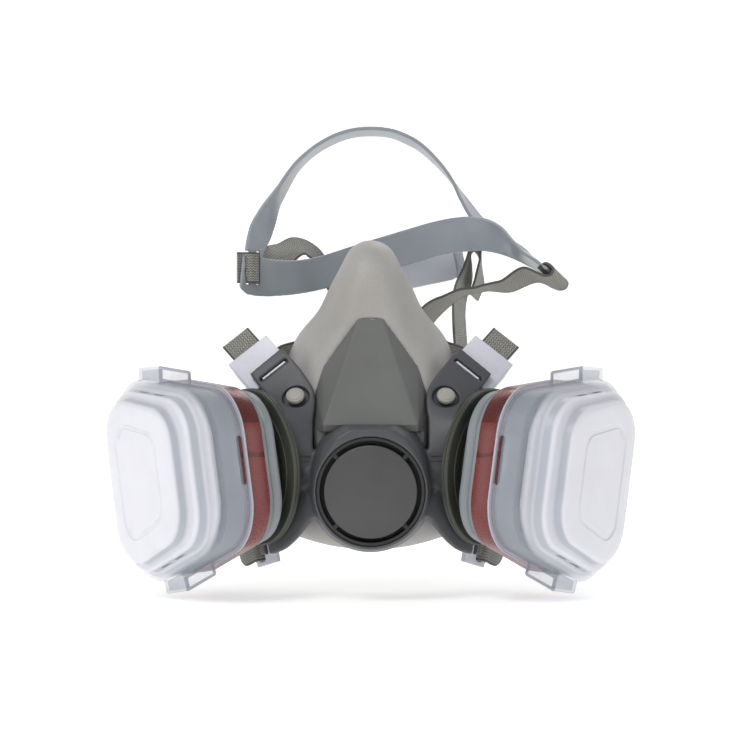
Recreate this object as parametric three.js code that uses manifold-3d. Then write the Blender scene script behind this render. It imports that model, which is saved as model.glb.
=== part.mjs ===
// Half-mask respirator with two bayonet cartridges and a head harness.
// Millimetres. +X is the wearer's left, -Y is the front of the mask, +Z is up.
// The origin is the centre of the face-seal opening.
import * as THREE from "three";
import { ConvexGeometry } from "three/addons/geometries/ConvexGeometry.js";
import { mergeVertices } from "three/addons/utils/BufferGeometryUtils.js";
import Module from "manifold-3d";

const wasm = await Module();
wasm.setup();

// ---------------------------------------------------------------- driving dimensions

const GAP = 0.3; // clearance between touching pieces
const ROUND = 24; // sides of a turned piece
const WEBBING_WIDTH = 14;
const WEBBING_THICK = 1.2;

// face seal
const SEAL_STATIONS = 34;
const SEAL_STEPS = 4;
const SEAL_WALL = 2.6;
const SEAL_LIP = 12;
const COLLAR_RADIUS = 20.8;
const OPENING_PLAY = 0.55; // the seal's opening is this much larger than the shell

// exhalation port, on the mask's centre line
const PORT_Z = -33;
const SHELL_PLATE_Y = -54;
const SHELL_WALL = 2.4;
const EXHAUST_HOLE_RADIUS = 15.6;
const HOUSING_FRONT_Y = -70;
const HOUSING_INNER_RADIUS = 22.4;
const HOUSING_OUTER_RADIUS = 23.6;
const COVER_DISC_RADIUS = 18.9;

// harness yoke
const YOKE_THICK = 3;
const STUD_RADIUS = 3.9;

// inhalation ports: axis n points out of the mask, away from the centre and forward
const PORT_CENTRE = new THREE.Vector3(-53.6, -43.5, -24.5);
const PORT_SWEEP_DEG = 35; // forward turn of the axis
const PORT_DROOP_DEG = 4; // downward turn of the axis
const PORT_ROLL_DEG = 7.5; // roll of the cartridge about the axis
const TUBE_BORE_RADIUS = 14.4;
const TUBE_RADIUS = 16.4;
const NECK_RADIUS = 18;
const FLANGE_RADIUS = 33;
const FLANGE_BACK = -7.4;
const FLANGE_FRONT = -4.6;

// cartridge, in its own t (towards the centre), u (up), n (out) axes
const CARTRIDGE = { near: 31.2, far: -43.2, nearHalf: 28.8, farHalf: 45.2, radius: 21 };
const PAN_DEPTH = 5;
const BODY_BACK = 5.3;
const BODY_FRONT = 27.5;
const BODY_WALL = 2;
const LABEL_BACK = 8.1;
const LABEL_FRONT = 19;
const PAD_BACK = 27.8;
const PAD_FRONT = 31.6;
const RETAINER_BACK = 16.7;
const RETAINER_RIM = 33.5;
const RETAINER_STEP = 39.5;
const RETAINER_TOP = 44.5;
const RETAINER_WALL = 1.3;

// ---------------------------------------------------------------- materials

function material(color, roughness, metalness = 0) {
  return new THREE.MeshStandardMaterial({ color, roughness, metalness });
}

const ELASTOMER = material(0xaaa8a5, 0.55);
const DARK_PLASTIC = material(0x646664, 0.6);
const YOKE_PLASTIC = material(0x58585c, 0.55);
const COVER_PLASTIC = material(0x525252, 0.5);
const STUD_PLASTIC = material(0xa5a29b, 0.5);
const PORT_PLASTIC = material(0x3c3e38, 0.6);
const GASKET_RUBBER = material(0x1c1c1c, 0.7);
const VALVE_RUBBER = material(0xd8c9a0, 0.5);
const CARTRIDGE_PLASTIC = material(0x8c9496, 0.5);
const LABEL_PAPER = material(0x823c3c, 0.4);
const CARBON = material(0x1b1b1c, 0.95);
const FELT = material(0xf2f2ef, 0.95);
const RETAINER_PLASTIC = material(0xe8e8f0, 0.35);
const BUCKLE_PLASTIC = material(0xdedeeb, 0.35);
const CRADLE_PLASTIC = material(0x878f96, 0.35);
const WEBBING = material(0x969489, 0.9);

// ---------------------------------------------------------------- solids

// The positions and faces alone, with shared vertices merged.
function merge(geometry) {
  const bare = new THREE.BufferGeometry();
  bare.setAttribute("position", geometry.getAttribute("position"));
  if (geometry.index) bare.setIndex(geometry.index);
  return mergeVertices(bare, 1e-4);
}

function solidOf(geometry) {
  const merged = merge(geometry);
  return new wasm.Manifold(
    new wasm.Mesh({
      numProp: 3,
      vertProperties: merged.attributes.position.array,
      triVerts: new Uint32Array(merged.index.array),
    }),
  );
}

function geometryOf(solid) {
  const mesh = solid.getMesh();
  const geometry = new THREE.BufferGeometry();
  geometry.setAttribute("position", new THREE.BufferAttribute(mesh.vertProperties, 3));
  geometry.setIndex(new THREE.BufferAttribute(mesh.triVerts, 1));
  return geometry;
}

function join(first, ...others) {
  let solid = solidOf(first);
  for (const other of others) solid = solid.add(solidOf(other));
  return geometryOf(solid);
}

function cut(first, ...tools) {
  let solid = solidOf(first);
  for (const tool of tools) solid = solid.subtract(solidOf(tool));
  return geometryOf(solid);
}

// Turns a geometry's faces round when they point inwards.
function facingOut(geometry) {
  const p = geometry.attributes.position;
  const index = geometry.index.array;
  const a = new THREE.Vector3();
  const b = new THREE.Vector3();
  const c = new THREE.Vector3();
  let volume = 0;
  for (let i = 0; i < index.length; i += 3) {
    a.fromBufferAttribute(p, index[i]);
    b.fromBufferAttribute(p, index[i + 1]);
    c.fromBufferAttribute(p, index[i + 2]);
    volume += a.dot(b.cross(c));
  }
  if (volume < 0) {
    for (let i = 0; i < index.length; i += 3) {
      const kept = index[i + 1];
      index[i + 1] = index[i + 2];
      index[i + 2] = kept;
    }
  }
  return geometry;
}

// Joins equal-length closed sections into one skin; a ring also joins its last to its first.
function loft(sections, ring = false) {
  const size = sections[0].length;
  const positions = sections.flat().flatMap((v) => [v.x, v.y, v.z]);
  const faces = [];
  const spans = ring ? sections.length : sections.length - 1;
  for (let i = 0; i < spans; i++) {
    const here = i * size;
    const next = ((i + 1) % sections.length) * size;
    for (let j = 0; j < size; j++) {
      const k = (j + 1) % size;
      faces.push(here + j, here + k, next + k, here + j, next + k, next + j);
    }
  }
  if (!ring) {
    const last = (sections.length - 1) * size;
    for (let j = 1; j < size - 1; j++) {
      faces.push(0, j + 1, j, last, last + j, last + j + 1);
    }
  }
  const geometry = new THREE.BufferGeometry();
  geometry.setAttribute("position", new THREE.BufferAttribute(new Float32Array(positions), 3));
  geometry.setIndex(faces);
  return facingOut(geometry);
}

function vec(x, y, z) {
  return new THREE.Vector3(x, y, z);
}

// A flat strip along a smooth path. Each stop is [x, y, z, wx, wy, wz] or has its own
// width as a seventh number; w is the direction across the strip.
function ribbon(stops, width, thick, perSpan = 3, square = false) {
  const path = new THREE.CatmullRomCurve3(
    stops.map((s) => vec(s[0], s[1], s[2])),
    false,
    "centripetal",
  );
  const across = new THREE.CatmullRomCurve3(stops.map((s) => vec(s[3], s[4], s[5])));
  const widths = stops.map((s) => s[6] ?? width);
  const steps = (stops.length - 1) * perSpan;
  const sections = [];
  for (let i = 0; i <= steps; i++) {
    const at = i / steps;
    const centre = path.getPoint(at);
    const tangent = path.getTangent(at);
    const side = across.getPoint(at);
    side.addScaledVector(tangent, -side.dot(tangent)).normalize();
    const face = tangent.clone().cross(side).normalize();
    const span = Math.min(Math.floor(at * (stops.length - 1)), stops.length - 2);
    const share = at * (stops.length - 1) - span;
    const half = THREE.MathUtils.lerp(widths[span], widths[span + 1], share) / 2;
    const bevel = square ? 0 : thick * 0.3;
    const corners = [];
    for (const [s, f] of [[1, 1], [-1, 1], [-1, -1], [1, -1]]) {
      corners.push(
        centre.clone().addScaledVector(side, s * (half - bevel * (s === f ? 0 : 1)))
          .addScaledVector(face, f * (thick / 2)),
      );
    }
    sections.push(corners);
  }
  return loft(sections);
}

function hull(points) {
  return new ConvexGeometry(points.map(([x, y, z]) => vec(x, y, z)));
}

// The same points on both sides of the mask's centre plane.
function bothSides(points) {
  return points.flatMap(([x, y, z]) => (x === 0 ? [[x, y, z]] : [[x, y, z], [-x, y, z]]));
}

function mirrored(geometry) {
  const copy = geometry.clone().applyMatrix4(new THREE.Matrix4().makeScale(-1, 1, 1));
  return facingOut(merge(copy));
}

// A turned piece whose axis is +Z; the profile's points are [radius, height].
function turned(profile, segments = ROUND) {
  const points = profile.map(([radius, height]) => new THREE.Vector2(radius, height));
  points.push(points[0].clone());
  const geometry = new THREE.LatheGeometry(points, segments);
  geometry.rotateX(Math.PI / 2);
  return facingOut(merge(geometry));
}

function tube(inner, outer, from, to, segments = ROUND) {
  return turned([[inner, from], [outer, from], [outer, to], [inner, to]], segments);
}

function rod(radius, from, to, segments = 32) {
  const geometry = new THREE.CylinderGeometry(radius, radius, to - from, segments);
  geometry.rotateX(Math.PI / 2);
  geometry.translate(0, 0, (from + to) / 2);
  return geometry;
}

function box(x0, x1, y0, y1, z0, z1) {
  const geometry = new THREE.BoxGeometry(x1 - x0, y1 - y0, z1 - z0);
  geometry.translate((x0 + x1) / 2, (y0 + y1) / 2, (z0 + z1) / 2);
  return geometry;
}

function slab(shape, from, to, curveSegments = 3) {
  const geometry = new THREE.ExtrudeGeometry(shape, {
    depth: to - from,
    bevelEnabled: false,
    curveSegments,
  });
  geometry.translate(0, 0, from);
  return geometry;
}

// Axes with the piece's own z along -Y of the mask and its own y along +Z.
const FRONT_AXES = new THREE.Matrix4().makeBasis(vec(1, 0, 0), vec(0, 0, 1), vec(0, -1, 0));

function onFront(geometry) {
  const placed = geometry.clone().applyMatrix4(FRONT_AXES);
  placed.translate(0, 0, PORT_Z);
  return placed;
}

// ---------------------------------------------------------------- placing

const respirator = new THREE.Group();

function place(name, geometry, look) {
  const mesh = new THREE.Mesh(geometry, look);
  mesh.name = name;
  respirator.add(mesh);
}

function placePair(name, geometry, look) {
  place("left_" + name, geometry, look);
  place("right_" + name, mirrored(geometry), look);
}

// ---------------------------------------------------------------- port frame

const sweep = THREE.MathUtils.degToRad(PORT_SWEEP_DEG);
const droop = THREE.MathUtils.degToRad(PORT_DROOP_DEG);
const portN = vec(
  -Math.cos(droop) * Math.cos(sweep),
  -Math.cos(droop) * Math.sin(sweep),
  -Math.sin(droop),
);
const levelT = vec(Math.sin(sweep), -Math.cos(sweep), 0);
const portT = levelT.clone().applyAxisAngle(portN, THREE.MathUtils.degToRad(PORT_ROLL_DEG));
const portU = portN.clone().cross(portT);
const PORT_AXES = new THREE.Matrix4().makeBasis(portT, portU, portN).setPosition(PORT_CENTRE);

function atPort(geometry) {
  return geometry.clone().applyMatrix4(PORT_AXES);
}

// ---------------------------------------------------------------- front shell

// Right half of the opening in the face seal, from the nose down to the chin.
const OPENING = [
  [0, -32.5, 39.5], [3, -32.7, 39.3], [5.1, -33, 38.5], [9, -33.6, 33], [13, -34.4, 28],
  [18, -35.5, 21.5], [21, -37, 15.5], [23.5, -40, 8], [24.9, -43.8, -4], [25.5, -47, -16],
  [24, -50, -33], [21.5, -50, -45], [14, -50, -54], [7, -50, -57], [0, -50, -58],
];

const UPPER_FACETS = bothSides([
  [5.1, -33, 38.5], [13, -34.4, 28], [20, -36, 18], [23.2, -40, 8], [24.8, -45, -9],
  [19.5, -60, -6], [19.5, -58.5, -9],
]);
const LOWER_PLATE = bothSides([
  [24.8, -45.5, -8], [25, -48, -16], [23.6, -49.6, -33], [21, -49.6, -45], [13.6, -49.6, -53.6],
  [0, -49.6, -57.6], [22, SHELL_PLATE_Y, -9], [21.5, SHELL_PLATE_Y, -33],
  [18, SHELL_PLATE_Y, -46], [9, SHELL_PLATE_Y, -53.5], [0, SHELL_PLATE_Y, -55],
]);

// Moves the points inwards (or out, when wall is negative) and opens the block behind.
function hollowOf(points, wall, backY) {
  const inner = points.map(([x, y, z]) => {
    const middle = z > -9.5 && z < -5 ? z : z - Math.sign(z + 10) * wall * 0.8;
    return [x - Math.sign(x) * wall, y + wall, middle];
  });
  return hull([...inner, ...inner.map(([x, , z]) => [x, backY, z])]);
}

const shellOutside = join(hull(UPPER_FACETS), hull(LOWER_PLATE));
const exhaustHole = onFront(rod(EXHAUST_HOLE_RADIUS, 40, 75, ROUND));
const frontShell = cut(
  shellOutside,
  hollowOf(UPPER_FACETS, SHELL_WALL, -10),
  hollowOf(LOWER_PLATE, SHELL_WALL, -10),
  exhaustHole,
);
place("front_shell", frontShell, DARK_PLASTIC);

// The shell grown by a gap all round, for cutting its neighbours clear.
function grown(points) {
  const wider = points.map(([x, y, z]) => [x * (1 + GAP / 18), y, z + (z + 10) * (GAP / 45)]);
  return hull(wider.flatMap(([x, y, z]) => [[x, y - GAP, z], [x, y + GAP, z]]));
}
const shellClearance = join(grown(UPPER_FACETS), grown(LOWER_PLATE));

// ---------------------------------------------------------------- face seal

// Right half of the sealing rim, as [x, z], from the nose down to the chin.
const RIM = [
  [0, 73], [8, 70], [13.3, 61.4], [18, 52.8], [23, 42.7], [32, 31.9], [38, 19.4], [46, 7],
  [54, -7], [58, -22], [56, -37], [47, -49], [33, -55], [16, -59.5], [0, -60.6],
];

// Front-to-back place of the rim: level at the cheeks, forward at nose and chin.
function rimDepth(z) {
  return z > -20 ? 10 - 16 * ((z + 20) / 93) ** 2 : 10 - 18 * ((z + 20) / 40.6) ** 2;
}

function closedCurve(halfPoints) {
  const half = halfPoints.map(([x, y, z]) => vec(x, y, z));
  const other = half.slice(1, -1).reverse().map((v) => vec(-v.x, v.y, v.z));
  return new THREE.CatmullRomCurve3([...half, ...other], true, "centripetal");
}

const openingCurve = closedCurve(
  OPENING.map(([x, y, z]) => [x * (1 + OPENING_PLAY / 18), y, z + (z + 10) * (OPENING_PLAY / 45)]),
);
const rimCurve = closedCurve(RIM.map(([x, z]) => [x, rimDepth(z), z]));

function sealSection(at) {
  const front = openingCurve.getPoint(at);
  const rim = rimCurve.getPoint(at);
  const out = vec(rim.x - front.x, 0, rim.z - front.z);
  const reach = out.length();
  out.normalize();
  const bulge = THREE.MathUtils.clamp(reach * 0.9, 8, 25);
  const curve = new THREE.CubicBezierCurve3(
    front,
    front.clone().addScaledVector(out, reach * 0.5),
    rim.clone().add(vec(0, -bulge, 0)),
    rim,
  );
  const back = vec(0, 1, 0);
  const outer = [];
  const inner = [];
  for (let i = 0; i <= SEAL_STEPS; i++) {
    const point = curve.getPoint(i / SEAL_STEPS);
    const tangent = curve.getTangent(i / SEAL_STEPS);
    const inwards = out.clone().multiplyScalar(-tangent.y).addScaledVector(back, tangent.dot(out));
    outer.push(point);
    inner.push(point.clone().addScaledVector(inwards.normalize(), SEAL_WALL));
  }
  inner[SEAL_STEPS].add(vec(0, -SEAL_WALL * 0.6, 0));
  const lip = [
    rim.clone().addScaledVector(out, -SEAL_LIP * 0.4).add(vec(0, 1.4, 0)),
    rim.clone().addScaledVector(out, -SEAL_LIP).add(vec(0, 0.8, 0)),
    rim.clone().addScaledVector(out, -SEAL_LIP).add(vec(0, -0.8, 0)),
    rim.clone().addScaledVector(out, -SEAL_LIP * 0.45).add(vec(0, -1.6, 0)),
  ];
  return [...outer, ...lip, ...inner.reverse()];
}

const skin = loft(
  Array.from({ length: SEAL_STATIONS }, (_, i) => sealSection(i / SEAL_STATIONS)),
  true,
);
const collar = atPort(tube(NECK_RADIUS + GAP, COLLAR_RADIUS, -19, -10.5));
const neckHole = atPort(rod(NECK_RADIUS + GAP, -40, 10, ROUND));
place(
  "face_seal",
  cut(
    join(skin, collar, mirrored(collar)),
    neckHole,
    mirrored(neckHole),
  ),
  ELASTOMER,
);

// ---------------------------------------------------------------- exhalation valve

const seatRing = tube(12.2, EXHAUST_HOLE_RADIUS - GAP, 50.6, 55.2);
const seatFlange = tube(14.6, 17.6, 54.35, 55.2);
const seatSpoke = box(-13, 13, -0.9, 0.9, 51, 53);
const seatHub = rod(2.6, 51, 55.2, 12);
const turnedSpoke = seatSpoke.clone().rotateZ(Math.PI / 2);
place(
  "exhaust_valve_seat",
  onFront(join(seatRing, seatFlange, seatSpoke, turnedSpoke, seatHub)),
  COVER_PLASTIC,
);
place("exhalation_flap", onFront(rod(14, 55.6, 56.4, ROUND)), VALVE_RUBBER);

const coverDisc = rod(COVER_DISC_RADIUS, 68.6, 71, ROUND);
const coverRing = tube(20.4, HOUSING_INNER_RADIUS - GAP, 60, 69.4);
const coverSpokes = [45, 135].map((angle) =>
  box(-21, 21, -0.8, 0.8, 65.6, 68.8).rotateZ(THREE.MathUtils.degToRad(angle)),
);
place("exhaust_cover", onFront(join(coverDisc, coverRing, ...coverSpokes)), COVER_PLASTIC);

// ---------------------------------------------------------------- harness yoke

const YOKE_BACK = -SHELL_PLATE_Y + GAP + 0.15;

// The housing's outline: a circle with a flat hood above it.
function housingOutline(radius, hoodTop, hoodHalf) {
  const points = [[-hoodHalf, hoodTop], [hoodHalf, hoodTop]];
  for (let i = 0; i < ROUND; i++) {
    const angle = (i / ROUND) * 2 * Math.PI;
    points.push([radius * Math.cos(angle), radius * Math.sin(angle)]);
  }
  return points;
}

function housingRing(radius, hoodTop, hoodHalf, depth) {
  return housingOutline(radius, hoodTop, hoodHalf).map(([x, y]) => vec(x, y, depth));
}

const housing = new ConvexGeometry([
  ...housingRing(HOUSING_OUTER_RADIUS, 27.5, 10.5, -HOUSING_FRONT_Y - 1),
  ...housingRing(HOUSING_OUTER_RADIUS - 0.8, 26.6, 10, -HOUSING_FRONT_Y),
  ...housingRing(HOUSING_OUTER_RADIUS + 2.2, 28, 13, YOKE_BACK),
]);
const housingBore = onFront(rod(HOUSING_INNER_RADIUS, 59, 80, ROUND));
const valveChamber = onFront(rod(18.4, 50, 80, ROUND));

const YOKE_UPPER_ARM = [
  [-24, -60, -30, 0, 0, 1, 20],
  [-27.2, -57.2, -25, 0.9, 0.1, 0.4, 11],
  [-28.6, -55.5, -16, 1, 0.12, 0, 9.6],
  [-29.6, -51.5, -5, 1, 0.35, 0.15, 11.5],
  [-31.2, -43.6, 4.5, 0.88, 0.2, 0.42, 16.5],
  [-36, -38, 10.6, 0.79, 0.16, 0.59, 18],
  [-40.7, -33.6, 16, 0.777, 0.125, 0.617, 18],
  [-44.4, -30.6, 19.8, 0.777, 0.125, 0.617, 17],
];
const YOKE_LOWER_ARM = [
  [-24, -60, -36, 0, 0, 1, 16],
  [-28, -56.5, -40.5, -0.2, 0, 0.98, 12],
  [-33, -51.5, -47, -0.3, 0.05, 0.95, 13],
  [-37.8, -45, -51.5, -0.22, 0.1, 0.97, 14],
  [-42.5, -37.6, -53.4, -0.18, 0.14, 0.97, 15],
  [-46.4, -31.2, -54.6, -0.18, 0.14, 0.97, 14],
];

// A buckle's frame: w across the webbing, a along it away from the mask, n to the front.
function buckleAxes(slotCentre, across, along) {
  const w = across.clone().normalize();
  const a = along.clone().addScaledVector(w, -along.dot(w)).normalize();
  const n = w.clone().cross(a);
  return new THREE.Matrix4().makeBasis(w, a, n).setPosition(slotCentre);
}

const UPPER_SLOT = buckleAxes(vec(-40.7, -33.6, 16), vec(0.777, 0.125, 0.617), vec(-0.586, 0.502, 0.636));
const LOWER_SLOT = buckleAxes(vec(-43, -36.6, -55.2), vec(-0.18, 0.14, 0.97), vec(-0.51, 0.83, -0.21));

const STUD_AXES = buckleAxes(vec(-31.2, -43.6, 4.5), vec(0.88, 0.2, 0.42), vec(-0.4, 0.55, 0.62));

function slotCutter(axes) {
  return box(-7, 7, -1.2, 1.2, -4, 4).applyMatrix4(axes);
}

const studHole = rod(STUD_RADIUS + 1.6, 0.4, 6, 20).applyMatrix4(STUD_AXES);
const studNeck = rod(2.2, -8, 6, 12).applyMatrix4(STUD_AXES);

const yokeParts = [onFront(housing)];
for (const arm of [YOKE_UPPER_ARM, YOKE_LOWER_ARM]) {
  const left = ribbon(arm, 14, YOKE_THICK, 2, true);
  yokeParts.push(left, mirrored(left));
}
const hoodClearance = box(-21, 21, -60.5, -50, -9.4, -4);
const yokeCutters = [housingBore, valveChamber, shellClearance, hoodClearance];
for (const tool of [slotCutter(UPPER_SLOT), slotCutter(LOWER_SLOT), studHole, studNeck]) {
  yokeCutters.push(tool, mirrored(tool));
}
place("harness_yoke", cut(join(...yokeParts), ...yokeCutters), YOKE_PLASTIC);

const stud = join(rod(STUD_RADIUS, 0.7, 3.1, 20), rod(1.9, -2.4, 1, 12)).applyMatrix4(STUD_AXES);
placePair("yoke_stud", stud, STUD_PLASTIC);

// ---------------------------------------------------------------- inhalation ports

const portTube = turned([
  [TUBE_BORE_RADIUS, -24], [NECK_RADIUS, -24], [NECK_RADIUS, FLANGE_BACK],
  [FLANGE_RADIUS - 1, FLANGE_BACK], [FLANGE_RADIUS, FLANGE_BACK + 1],
  [FLANGE_RADIUS, FLANGE_FRONT - 0.6], [FLANGE_RADIUS - 0.8, FLANGE_FRONT],
  [TUBE_RADIUS, FLANGE_FRONT], [TUBE_RADIUS, 3.6], [TUBE_BORE_RADIUS, 3.6],
], ROUND);
const lugs = [90, 210, 330].map((angle) =>
  box(14.8, 18.8, -3, 3, 1.9, 3.6).rotateZ(THREE.MathUtils.degToRad(angle)),
);
const spiderArms = [0, 60, 120].map((angle) =>
  box(-15.5, 15.5, -0.8, 0.8, -20.6, -18.8).rotateZ(THREE.MathUtils.degToRad(angle)),
);
const spiderHub = rod(2.4, -20.6, -18.8, 12);
placePair("port_body", atPort(join(portTube, ...lugs, ...spiderArms, spiderHub)), PORT_PLASTIC);
placePair("inhalation_flap", atPort(rod(13.4, -21.5, -20.9, ROUND)), VALVE_RUBBER);
placePair(
  "port_gasket",
  atPort(tube(TUBE_RADIUS + GAP, 24, FLANGE_FRONT + GAP, -GAP, ROUND)),
  GASKET_RUBBER,
);

// ---------------------------------------------------------------- cartridges

// A four-sided outline with round corners, tall on the far side, moved in by inset.
function keystone(inset, size = CARTRIDGE) {
  const slope = (size.farHalf - size.nearHalf) / (size.near - size.far);
  const lean = Math.sqrt(1 + slope * slope);
  const near = size.near - inset;
  const far = size.far + inset;
  const halfAt = (t) => size.nearHalf + slope * (size.near - t) - lean * inset;
  const radius = Math.max(size.radius - inset * 0.8, 3);
  const corners = [
    new THREE.Vector2(near, -halfAt(near)), new THREE.Vector2(near, halfAt(near)),
    new THREE.Vector2(far, halfAt(far)), new THREE.Vector2(far, -halfAt(far)),
  ];
  const shape = new THREE.Shape();
  corners.forEach((corner, i) => {
    const before = corners[(i + 3) % 4].clone().sub(corner).normalize();
    const after = corners[(i + 1) % 4].clone().sub(corner).normalize();
    const half = Math.acos(before.dot(after)) / 2;
    const run = radius / Math.tan(half);
    const start = corner.clone().addScaledVector(before, run);
    const end = corner.clone().addScaledVector(after, run);
    const middle = before.clone().add(after).normalize();
    const hub = corner.clone().addScaledVector(middle, radius / Math.sin(half));
    const from = Math.atan2(start.y - hub.y, start.x - hub.x);
    const to = Math.atan2(end.y - hub.y, end.x - hub.x);
    if (i === 0) shape.moveTo(start.x, start.y);
    else shape.lineTo(start.x, start.y);
    shape.absarc(hub.x, hub.y, radius, from, to, false);
  });
  return shape;
}

function block(inset, from, to, size = CARTRIDGE) {
  return merge(slab(keystone(inset, size), from, to));
}

function band(outerInset, innerInset, from, to) {
  return cut(block(outerInset, from, to), block(innerInset, from - 1, to + 1));
}

// Both pans unlock the same way, so the notches of the mirrored one lie on the other side.
function cartridgePan(notchAngles) {
  const socket = rod(TUBE_RADIUS + 0.9, -1, 2.2, ROUND);
  const notches = notchAngles.map((angle) =>
    box(12, 19.6, -3.8, 3.8, -1, 2.2).rotateZ(THREE.MathUtils.degToRad(angle)),
  );
  return atPort(cut(block(1.6, 0, PAN_DEPTH), block(3.4, 1.4, PAN_DEPTH + 1), socket, ...notches));
}
place("left_cartridge_pan", cartridgePan([60, 180, 300]), CARTRIDGE_PLASTIC);
place("right_cartridge_pan", mirrored(cartridgePan([0, 120, 240])), CARTRIDGE_PLASTIC);

const bodyShell = join(
  band(0, BODY_WALL, BODY_BACK, BODY_FRONT),
  band(1, 4.5, BODY_BACK, BODY_BACK + 1.2),
);
placePair("cartridge_body", atPort(bodyShell), CARTRIDGE_PLASTIC);
placePair("cartridge_label", atPort(band(-0.7, -0.3, LABEL_BACK, LABEL_FRONT)), LABEL_PAPER);
placePair("carbon_bed", atPort(block(BODY_WALL + GAP, BODY_BACK + 1.5, 24)), CARBON);

const lidSlots = [];
for (const column of [-2, -1, 0, 1]) {
  for (const row of [-1, 0, 1]) {
    lidSlots.push(box(column * 14 - 4, column * 14 + 8, row * 18 - 7, row * 18 + 7, 20, 30));
  }
}
placePair(
  "cartridge_lid",
  atPort(cut(block(BODY_WALL + GAP, 24.3, BODY_FRONT - 0.6), ...lidSlots)),
  CARTRIDGE_PLASTIC,
);

// ---------------------------------------------------------------- prefilter and retainer

placePair("prefilter", atPort(block(4, PAD_BACK, PAD_FRONT)), FELT);

const STEP_OUTLINE = { near: 26, far: -38, nearHalf: 28, farHalf: 42, radius: 17 };
const TOP_OUTLINE = { near: 19.5, far: -34, nearHalf: 25, farHalf: 38.5, radius: 16 };
const PANEL_OUTLINE = { near: 8, far: -25, nearHalf: 17, farHalf: 26, radius: 8 };

const retainerOutside = join(
  block(-2.3, RETAINER_BACK, RETAINER_RIM),
  block(0, RETAINER_RIM - 1, RETAINER_STEP, STEP_OUTLINE),
  block(0, RETAINER_STEP - 1, RETAINER_TOP, TOP_OUTLINE),
);
const retainerInside = [
  block(-1, RETAINER_BACK - 1, RETAINER_RIM - RETAINER_WALL),
  block(RETAINER_WALL, RETAINER_RIM - 3, RETAINER_STEP - RETAINER_WALL, STEP_OUTLINE),
  block(RETAINER_WALL, RETAINER_STEP - 3, RETAINER_TOP - RETAINER_WALL, TOP_OUTLINE),
];
const panelGroove = cut(
  block(0, RETAINER_TOP - 0.6, RETAINER_TOP + 1, PANEL_OUTLINE),
  block(1.2, RETAINER_TOP - 2, RETAINER_TOP + 2, PANEL_OUTLINE),
);
// Air inlets through both risers, at the slanted ends.
const inlets = [-22, -10, 2].map((t) =>
  box(t - 3.5, t + 3.5, -60, 60, RETAINER_RIM + 1.4, RETAINER_RIM + 3.6),
);
// Snap tabs that stand out from the slanted ends.
const slant = (CARTRIDGE.farHalf - CARTRIDGE.nearHalf) / (CARTRIDGE.near - CARTRIDGE.far);
function snapTab(side) {
  const middle = -16;
  const edge = CARTRIDGE.nearHalf + slant * (CARTRIDGE.near - middle) + 2.3;
  const tab = box(-13, 13, -6, 4, RETAINER_BACK, 28);
  const cavity = box(-11.6, 11.6, -20, 2.7, RETAINER_BACK - 1, 26.6);
  const seat = new THREE.Matrix4()
    .makeTranslation(middle, side * edge, 0)
    .multiply(new THREE.Matrix4().makeRotationZ(-side * Math.atan(slant)))
    .multiply(new THREE.Matrix4().makeScale(1, side, 1));
  return [tab, cavity].map((block) => facingOut(merge(block.applyMatrix4(seat))));
}
const [upperTab, upperTabHollow] = snapTab(1);
const [lowerTab, lowerTabHollow] = snapTab(-1);
const slotWindow = box(28, 40, -8, 12, 18.3, 21.5);
const retainer = cut(
  join(retainerOutside, upperTab, lowerTab),
  ...retainerInside,
  cut(upperTabHollow, block(-1.6, 10, ROUND)),
  cut(lowerTabHollow, block(-1.6, 10, ROUND)),
  panelGroove,
  slotWindow,
  ...inlets,
);
placePair("retainer", atPort(retainer), RETAINER_PLASTIC);

// ---------------------------------------------------------------- buckles

// Cover plate, two cheeks, a serrated bar and the tongue that goes through the yoke's slot.
function buckle(offset) {
  const bar = rod(1.5, -9, 9, 12).rotateY(Math.PI / 2);
  bar.translate(offset, 11, -8.9);
  return join(
    box(offset - 10.3, offset + 10.3, -0.6, 18.2, -4.1, -1.9),
    box(offset - 10.3, offset - 8.2, 3, 16, -10.8, -4),
    box(offset + 8.2, offset + 10.3, 3, 16, -10.8, -4),
    box(-6, 6, -0.5, 0.5, -3, 1),
    bar,
  );
}
placePair("upper_buckle", buckle(-2.4).applyMatrix4(UPPER_SLOT), BUCKLE_PLASTIC);

// A plain frame whose outer bar carries the neck webbing.
const lowerBuckle = join(
  cut(box(-9.4, 8.6, -0.6, 17, -3.9, -1.9), box(-7.5, 7.5, 8.8, 13.6, -6, 0)),
  box(-6, 6, -0.5, 0.5, -3, 1),
);
placePair("lower_buckle", lowerBuckle.applyMatrix4(LOWER_SLOT), BUCKLE_PLASTIC);

// A stop given in a buckle's frame, as a ribbon stop in the mask's frame.
function buckleStop(axes, w, a, n, across = [1, 0, 0]) {
  const point = vec(w, a, n).applyMatrix4(axes);
  const side = vec(...across).transformDirection(axes);
  return [point.x, point.y, point.z, side.x, side.y, side.z];
}

// ---------------------------------------------------------------- head cradle

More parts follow.
